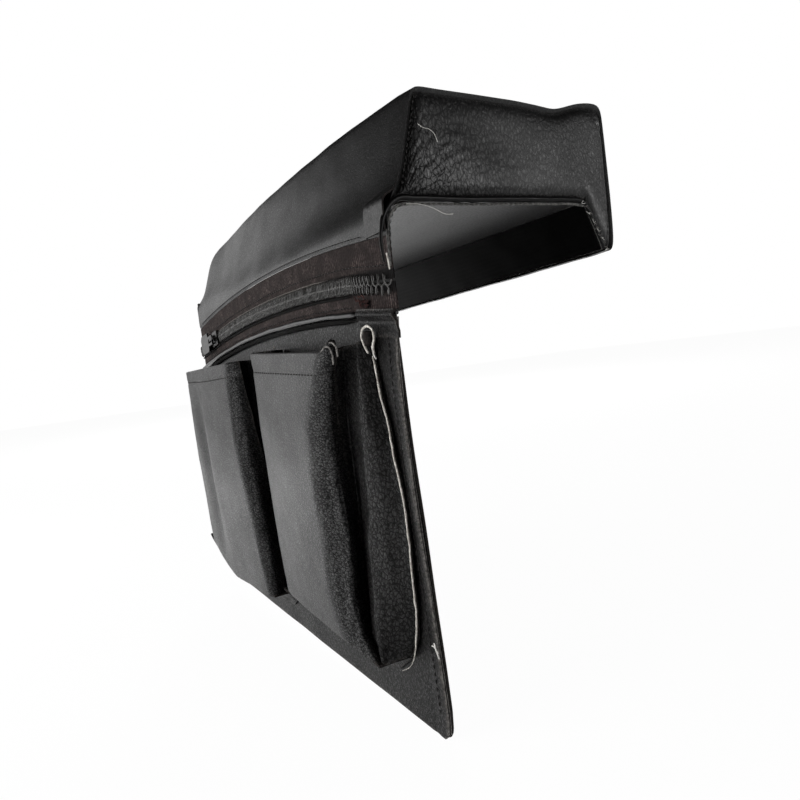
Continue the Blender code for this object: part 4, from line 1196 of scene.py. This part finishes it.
def make_side(pocket, ending, node, inwards):
    """A folded strip from the front's edge, in to a valley, and out over a pleat to the panel."""
    panel_face = OUTER_X - GAP - LEATHER / 2
    pleated = inwards > 0 and pocket.form.shape[1] > 7
    rows = []
    for share in np.linspace(0, 1, 80):
        edge_y = pocket.near_end(share) if inwards > 0 else pocket.end
        bow = np.interp(share, [s for s, _ in FLANGE_BOWS], [b for _, b in FLANGE_BOWS])
        start_x = pocket.face_x(share) + pocket.far_reach(share) + 0.0003
        end_y = edge_y + inwards * (1 - bow) * BOTTOM_FLANGE - inwards * (GAP + bow * SIDE_FLANGE)
        if pleated:
            valley, crest, cut = (pocket.spot(share, column) for column in (5, 7, 9))
            drop, run = cut[0] - crest[0], cut[1] - crest[1]
            line = [
                pocket.near_seam(share), (valley[0] - 0.0001, valley[1] - 0.0003),
                (valley[0] * 0.45 + crest[0] * 0.55, valley[1] * 0.6 + crest[1] * 0.4),
                (crest[0], crest[1] + 0.0012), (crest[0] + 0.10 * drop, crest[1] + 0.16 * run),
                (crest[0] + 0.42 * drop, crest[1] + 0.42 * run), (crest[0] + 0.95 * drop, crest[1] + 0.70 * run),
                (cut[0] + 0.0012, crest[1] + 0.84 * run), (cut[0] + 0.0006, cut[1] - 0.06 * run), cut,
            ]
        else:
            turn_y = edge_y + inwards * (1 - bow) * BOTTOM_FLANGE
            first = pocket.near_seam(share) if inwards > 0 else (start_x, edge_y + inwards * 0.0030)
            line = [
                first, ((first[0] + panel_face) / 2, edge_y + inwards * GUSSET_TUCK),
                (panel_face, turn_y), (panel_face - 0.0005 * bow, (turn_y + end_y) / 2), (panel_face, end_y),
            ]
        line = soft_line(line, 80, 5)
        z = pocket.height(edge_y, share) + (0.0003 if share == 1 else 0)
        along = np.linspace(0, 1, 80) if pleated else np.zeros(80)
        lift = 0.0035 * along * (1 - share) ** 6
        rows.append([(x, y, z + up) for (x, y), up in zip(line, lift)])
    grid = np.array(rows)
    wrinkles = 0.0007 * roughen(grid * np.array((1, 1, 0.35)), 0.007, 34) + 0.0002 * roughen(grid, 0.004, 36)
    grid = bump_up(grid, (-1, 0, 0), wrinkles)
    looks = [coarse_leather, dark_edge]
    piece = leather_piece(pocket.name + ending, grid, (-1, -inwards, 0), LEATHER, looks, 0.75)
    declare(grid)
    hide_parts(pocket.name + node)
    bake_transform(piece)
    return grid


def make_bottom(pocket):
    panel_face = OUTER_X - GAP - LEATHER / 2
    rows = []
    first = pocket.spot(1, 3)[1]
    for y in np.linspace(first, pocket.end, 90):
        bottom = pocket.height(y, 1) - GAP
        face = pocket.face_x(1)
        drop = GUSSET_DROP * (0.1 + 0.9 * min((y - first) / 0.014, (pocket.end - y) / 0.014, 1.0))
        line = soft_line([
            (face, bottom), ((face + panel_face) / 2, bottom - drop / 4),
            (panel_face - 0.0005, bottom - drop), (panel_face - 0.0005, bottom - 1.3 * drop),
        ], 34, 3)
        rows.append(at_station(line, y))
    grid = np.array(rows)
    grid = bump_up(grid, (0, 0, -1), 0.0004 * roughen(grid, 0.009, 35))
    piece = leather_piece(pocket.name + "_underside", grid, (0, 0, -1), LEATHER, [coarse_leather, dark_edge])
    declare(grid)
    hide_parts(pocket.name + "_bottom_gusset")
    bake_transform(piece)


NEAR_FORM = (
    # share, ridge, corner, valley, crest, cut edge
    (0.00, -81.0, -112.5, -78.4, -122.0, -71.0, -115.0, -68.5, -122.5, -63.6, -126.8),
    (0.07, -81.5, -106.0, -78.0, -114.5, -68.5, -108.5, -69.0, -122.3, -63.4, -126.4),
    (0.25, -82.3, -93.0, -77.2, -105.0, -66.8, -102.5, -70.0, -122.6, -63.3, -131.7),
    (0.43, -82.6, -90.5, -77.0, -104.8, -66.5, -101.0, -70.3, -120.8, -63.3, -135.4),
    (0.62, -82.4, -92.5, -77.2, -109.5, -66.5, -100.5, -71.2, -117.6, -63.3, -137.0),
    (0.82, -81.4, -90.0, -78.2, -107.0, -67.5, -101.5, -73.0, -118.6, -63.3, -135.6),
    (0.93, -80.4, -92.0, -78.9, -114.5, -71.0, -108.0, -75.6, -120.6, -63.4, -132.4),
    (1.00, -79.4, -96.0, -78.8, -125.5, -74.5, -124.0, -76.8, -125.6, -63.6, -126.5),
)
FAR_FORM = (
    # share, ridge, corner, valley
    (0.00, -81.0, 25.0, -77.6, 16.0, -69.0, 14.0),
    (0.10, -81.6, 27.0, -77.5, 17.0, -68.0, 14.0),
    (0.30, -82.4, 25.0, -77.3, 14.5, -68.0, 13.0),
    (0.50, -82.6, 18.0, -77.3, 9.0, -68.5, 11.0),
    (0.75, -82.0, 10.0, -77.5, 3.0, -69.0, 8.0),
    (1.00, -80.0, 7.0, -77.6, 1.0, -71.0, 5.0),
)


def make_pockets():
    """Both pockets, and the cut edge that runs down the near one's pleat."""
    near = Pocket(
        "near_pocket", "near_front", start=-0.1205, end=-0.0170, flare=0.010, drops=(0.0135, 0.0112),
        margins=(0.0298, 0.0344), lift=0.0, crease=0, ear=0.0045, form=NEAR_FORM,
    )
    far = Pocket(
        "far_pocket", "far_front", start=0.0120, end=0.1345, flare=0.0, drops=(0.0130, 0.0032),
        margins=(0.024, 0.0145), lift=0.022, crease=0.70, ear=0, form=FAR_FORM,
    )
    for pocket in (near, far):
        make_front(pocket)
        grid = make_side(pocket, "_near_side", "_near_gusset", 1)
        make_side(pocket, "_far_side", "_far_gusset", -1)
        make_bottom(pocket)
        if pocket is near:
            make_cut_edge(grid)
    make_hem_ends()


def make_cut_edge(grid):
    """The pale cut edge of the near pleat, with the loop it makes at the top."""
    edge = grid[:, -1] + np.array((-0.0002, -0.0002, 0))
    foot = [(-0.0640, -0.1290, -0.1855), (-0.0641, -0.1240, -0.1900), (-0.0641, -0.1180, -0.1930)]
    path = soft_line(list(edge[4:-7]) + foot, 220, 12)
    path = shaken(path, 0.00025, 0.004, 51)
    thick = (0.00042 + 0.00012 * roughen(path, 0.003, 54)) * np.clip((220 - np.arange(220)) / 40, 0.3, 1)
    cut = tube_piece("pleat_cut_edge", path, thick, raw_edge, 8)
    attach(cut, "panel")
    loop = [
        (-0.0664, -0.1285, -0.0562), (-0.0662, -0.1262, -0.0537), (-0.0660, -0.1235, -0.0495),
        (-0.0660, -0.1250, -0.0464), (-0.0660, -0.1298, -0.0452), (-0.0660, -0.1340, -0.0472),
        (-0.0656, -0.1340, -0.0505), (-0.0650, -0.1305, -0.0540), (-0.0640, -0.1292, -0.0565),
    ]
    path = soft_line(loop, 90, 10)
    ring = tube_piece("pleat_loop", path, 0.00050 + 0.0001 * roughen(path, 0.003, 55), raw_edge, 8)
    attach(ring, "panel")
    heart = [(-0.0648, -0.1280, -0.0530), (-0.0648, -0.1275, -0.0500), (-0.0648, -0.1280, -0.0475)]
    inner = soft_line(heart, 40, 6)
    core = tube_piece("pleat_loop_core", inner, 0.0022, dark_edge, 8)
    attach(core, "panel")
    knot = soft_line([
        (-0.0640, -0.1288, -0.0560), (-0.0650, -0.1302, -0.0545), (-0.0646, -0.1290, -0.0535),
        (-0.0638, -0.1280, -0.0552), (-0.0646, -0.1297, -0.0570), (-0.0642, -0.1306, -0.0590),
    ], 60, 5)
    tied = tube_piece("pleat_knot", knot, 0.00035, pale_thread, 6)
    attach(tied, "panel")


def make_hem_ends():
    """The doubled ends of the near hem, curled in towards the panel."""
    arcs = (
        [(-0.0802, -0.1130, -0.0535), (-0.0796, -0.1168, -0.0512), (-0.0789, -0.1196, -0.0520),
         (-0.0785, -0.1206, -0.0550), (-0.0784, -0.1200, -0.0590)],
        [(-0.0788, -0.1165, -0.0502), (-0.0780, -0.1205, -0.0500), (-0.0774, -0.1228, -0.0520),
         (-0.0772, -0.1226, -0.0560)],
    )
    for index, arc in enumerate(arcs):
        path = soft_line(arc, 40, 6)
        tube = tube_piece("hem_end_%d" % (index + 1), path, 0.0004, grey_edge, 8)
        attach(tube, "near_front")


LOOSE_THREADS = (
    # name, body, look, radius, route in millimetres
    ("ceiling_thread", "cover", pale_thread, 0.00017, (
        (-52, -148.6, -1.5), (-47.5, -149.2, -1.6), (-43, -148.8, -2.2), (-39, -148.4, -3.4),
        (-36, -148.6, -5.0), (-33.5, -148.4, -5.6), (-30.5, -148.4, -5.4))),
    ("end_thread", "cover", pale_thread, 0.00014, (
        (-43, -149.6, 29), (-41, -150.0, 27.5), (-38, -149.9, 27.2), (-36, -150.0, 25.5),
        (-34.8, -149.8, 22.5))),
    ("corner_spike", "panel", raw_edge, 0.0003, (
        (-62.6, -147.8, -26.0), (-62.9, -148.0, -23.0), (-63.3, -148.2, -19.8))),
    ("torn_thread_1", "panel", red_thread, 0.00025, (
        (-63.4, -117, -32.0), (-63.8, -119, -34.4), (-63.6, -121, -33.6), (-63.8, -122, -36.4))),
    ("torn_thread_2", "panel", red_thread, 0.00022, (
        (-63.4, -120, -32.0), (-63.9, -122, -33.0), (-63.8, -125, -32.4), (-63.6, -126, -34.0))),
    ("notch_thread_1", "panel", pale_thread, 0.00028, (
        (-62.4, -144.6, -173.5), (-62.8, -146.2, -176.0), (-62.2, -146.8, -179.4))),
    ("notch_thread_2", "panel", pale_thread, 0.00024, (
        (-62.6, -143.0, -175.0), (-62.9, -145.0, -174.6), (-62.5, -147.0, -177.0))),
    ("tuft", "panel", grey_edge, 0.0003, (
        (-63.4, -11.5, -46.0), (-64.2, -13.5, -44.2), (-64.0, -16.0, -45.6))),
)


def add_thread(name, body, look, radius, *points):
    """A loose thread through the given points, in millimetres."""
    route = np.array(points, float) / 1000
    path = soft_line(route, 12 * len(points), 8)
    piece = tube_piece(name, path, radius, look, 6)
    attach(piece, body)


def make_threads():
    """Loose threads, frayed edges and seams that show."""
    for name, body, look, radius, route in LOOSE_THREADS:
        add_thread(name, body, look, radius, *route)
    rng = np.random.default_rng(7)
    for index in range(16):
        share = index / 15
        x = 43.5 + 11.5 * share
        z = -0.6 - 21.5 * share
        reach = rng.uniform(0.8, 2.4, 3)
        lean = rng.uniform(-1.2, 1.2, 3)
        add_thread(
            "flap_fray_%02d" % (index + 1), "cover", grey_edge if index % 3 else pale_thread, 0.00013,
            (x + 0.6, -147.9, z), (x - 0.6 * reach[0], -148.4, z + lean[0]),
            (x - 1.1 * reach[1], -148.2, z + lean[1]), (x - 0.8 * reach[2], -148.6, z + lean[2]),
        )
    spots = np.linspace(-0.125, 0.14, 60)
    low_spots = np.linspace(-0.110, 0.14, 60)
    high_spots = np.linspace(-0.145, 0.14, 70)
    shares = np.linspace(0.05, 0.97, 60)
    rows = (
        ("band_stitches", chain_path(OUTER_X - 0.0002, spots, UPPER_TAPE) + (0, 0, 0.0016)),
        ("edge_stitches", [
            (OUTER_X - 0.0001, NEAR_Y + edge_inset(share) + 0.0045, -0.038 + share * -0.172) for share in shares
        ]),
        ("lower_tape_stitches", chain_path(-0.0619, low_spots, -0.0094)),
        ("upper_tape_stitches", chain_path(-0.0618, high_spots, 0.0074, 1)),
    )
    for name, line in rows:
        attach(stitch_piece(name, line, (-1, 0, 0), 0.0031, black_thread), "panel")
    corner = [(-0.0538, 0.0035), (-0.0500, 0.0155), (-0.0455, 0.0305), (-0.0415, 0.0440)]
    line = [(x + 0.0006, NEAR_Y - 0.0002, z) for x, z in soft_line(corner, 30, 4)]
    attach(stitch_piece("end_groove_stitches", line, (-0.4, -1, 0), 0.0024, black_thread), "cover")


def dress_nodes():
    """Finishes for the nodes that stay as the part has them."""
    looks = {
        "pad_foam": (pad_foam, "foam"), "flap_foam": (pad_foam, "foam"),
        "slider_body": (slider_paint, "slider"), "slider_bridge": (slider_paint, "slider"),
        "pull_tab": (pocket_leather, "leather"),
    }
    for node, (look, name) in looks.items():
        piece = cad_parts[node]
        piece.data.materials.clear()
        piece.data.materials.append(look)


# Floor, lights and camera

def make_stage():
    """A white floor, and a white background that is bright at the horizon and dim overhead."""
    bpy.ops.object.select_all(action="DESELECT")
    bpy.ops.mesh.primitive_plane_add(size=12, location=(0, 0, FLOOR_Z))
    floor = bpy.context.active_object
    floor.name = "floor"
    material, graph, shader = blank_material("floor_white", 0.9, 0.1)
    shader["Base Color"].default_value = (0.85, 0.85, 0.85, 1)
    path = graph.add("LightPath").outputs
    glow = graph.add("Emission", {"Strength": 1.0}).outputs[0]
    shown = graph.times(path["Is Camera Ray"], 0.97)
    white = graph.math("MAXIMUM", shown, graph.times(path["Is Glossy Ray"], 0.08))
    graph.mix_shaders(white, graph.nodes["Principled BSDF"].outputs[0], glow, "Material Output")
    floor.data.materials.append(material)
    world = bpy.data.worlds.new("studio")
    bpy.context.scene.world = world
    world.use_nodes = True
    graph = Graph(world.node_tree)
    parts = graph.axes("Generated")
    front = graph.ramp(parts["X"], -0.5, 0.1, 0.05, 0.50)
    back = graph.ramp(parts["Y"], -0.35, 0.35, 0.0, 1.28)
    left = graph.ramp(parts["X"], -0.45, -0.05, 1.0, 0.25)
    left = graph.math("POWER", left, graph.ramp(parts["Z"], 0.02, 0.22, 2.4, 1.0))
    above = graph.ramp(parts["Z"], 0.32, 0.45, 1.0, 0.03)
    level = graph.times(graph.plus(front, graph.times(back, left)), above)
    plain = graph.nodes["Background"]
    graph.feed(plain.inputs["Color"], WHITE)
    graph.feed(plain.inputs["Strength"], level)
    seen = graph.add("Background", {"Color": WHITE})
    shown = graph.add("LightPath").outputs["Is Camera Ray"]
    graph.mix_shaders(shown, plain.outputs[0], seen.outputs[0], "World Output")


def add_lamp(name, place, target, size, power, mirrored=True):
    lamp = bpy.data.lights.new(name, "AREA")
    lamp.shape = "RECTANGLE"
    lamp.size, lamp.size_y = size
    lamp.energy = power
    holder = bpy.data.objects.new(name, lamp)
    holder.location = place
    holder.rotation_euler = (Vector(target) - Vector(place)).to_track_quat("-Z", "Y").to_euler()
    holder.visible_glossy = mirrored
    holder.visible_camera = False
    bpy.context.scene.collection.objects.link(holder)


def make_lights():
    """Soft lamps on the left, in front and on the right, and pools of light on the floor."""
    add_lamp("left_softbox", (-1.1, 0.1, 0.25), (0, 0.02, -0.06), (0.9, 0.9), 15, False)
    add_lamp("front_softbox", (0.25, -1.1, 0.1), (0, -0.1, 0.0), (0.6, 0.5), 1.5)
    add_lamp("right_softbox", (0.62, -1.15, 0.17), (0.0, -0.15, 0.02), (0.42, 0.34), 2.5)
    add_lamp("left_floor_light", (-0.56, 0.47, 0.01), (-0.56, 0.471, FLOOR_Z), (0.35, 0.35), 3.0, False)
    add_lamp("side_floor_light", (-1.0, -0.05, 0.2), (-1.0, -0.049, FLOOR_Z), (0.35, 0.35), 3.5, False)
    add_lamp("back_floor_light", (1.0, 2.0, 0.9), (0.95, 1.9, FLOOR_Z), (1.0, 1.0), 62, False)


def make_camera():
    camera = bpy.data.objects.new("camera", bpy.data.cameras.new("camera"))
    bpy.context.scene.collection.objects.link(camera)
    forward = (math.sin(HEADING) * math.cos(PITCH), math.cos(HEADING) * math.cos(PITCH), -math.sin(PITCH))
    right = (math.cos(HEADING), -math.sin(HEADING), 0)
    up = (math.sin(HEADING) * math.sin(PITCH), math.cos(HEADING) * math.sin(PITCH), math.cos(PITCH))
    basis = Matrix((right, up, [-part for part in forward])).transposed().to_4x4()
    camera.matrix_world = Matrix.Translation(CAMERA_PLACE) @ basis @ Matrix.Rotation(-ROLL, 4, "Z")
    camera.data.sensor_width = SENSOR
    camera.data.lens = LENS
    camera.data.clip_start = 0.01
    bpy.context.scene.camera = camera


make_camera()
make_stage()
make_lights()
bpy.context.scene.view_settings.view_transform = "Standard"
make_cover()
make_end()
make_flap_cap()
make_roll()
make_linings()
make_corner_tab()
make_panel()
make_tapes()
make_teeth()
make_ridge()
make_end_patch()
make_pockets()
make_threads()
dress_nodes()
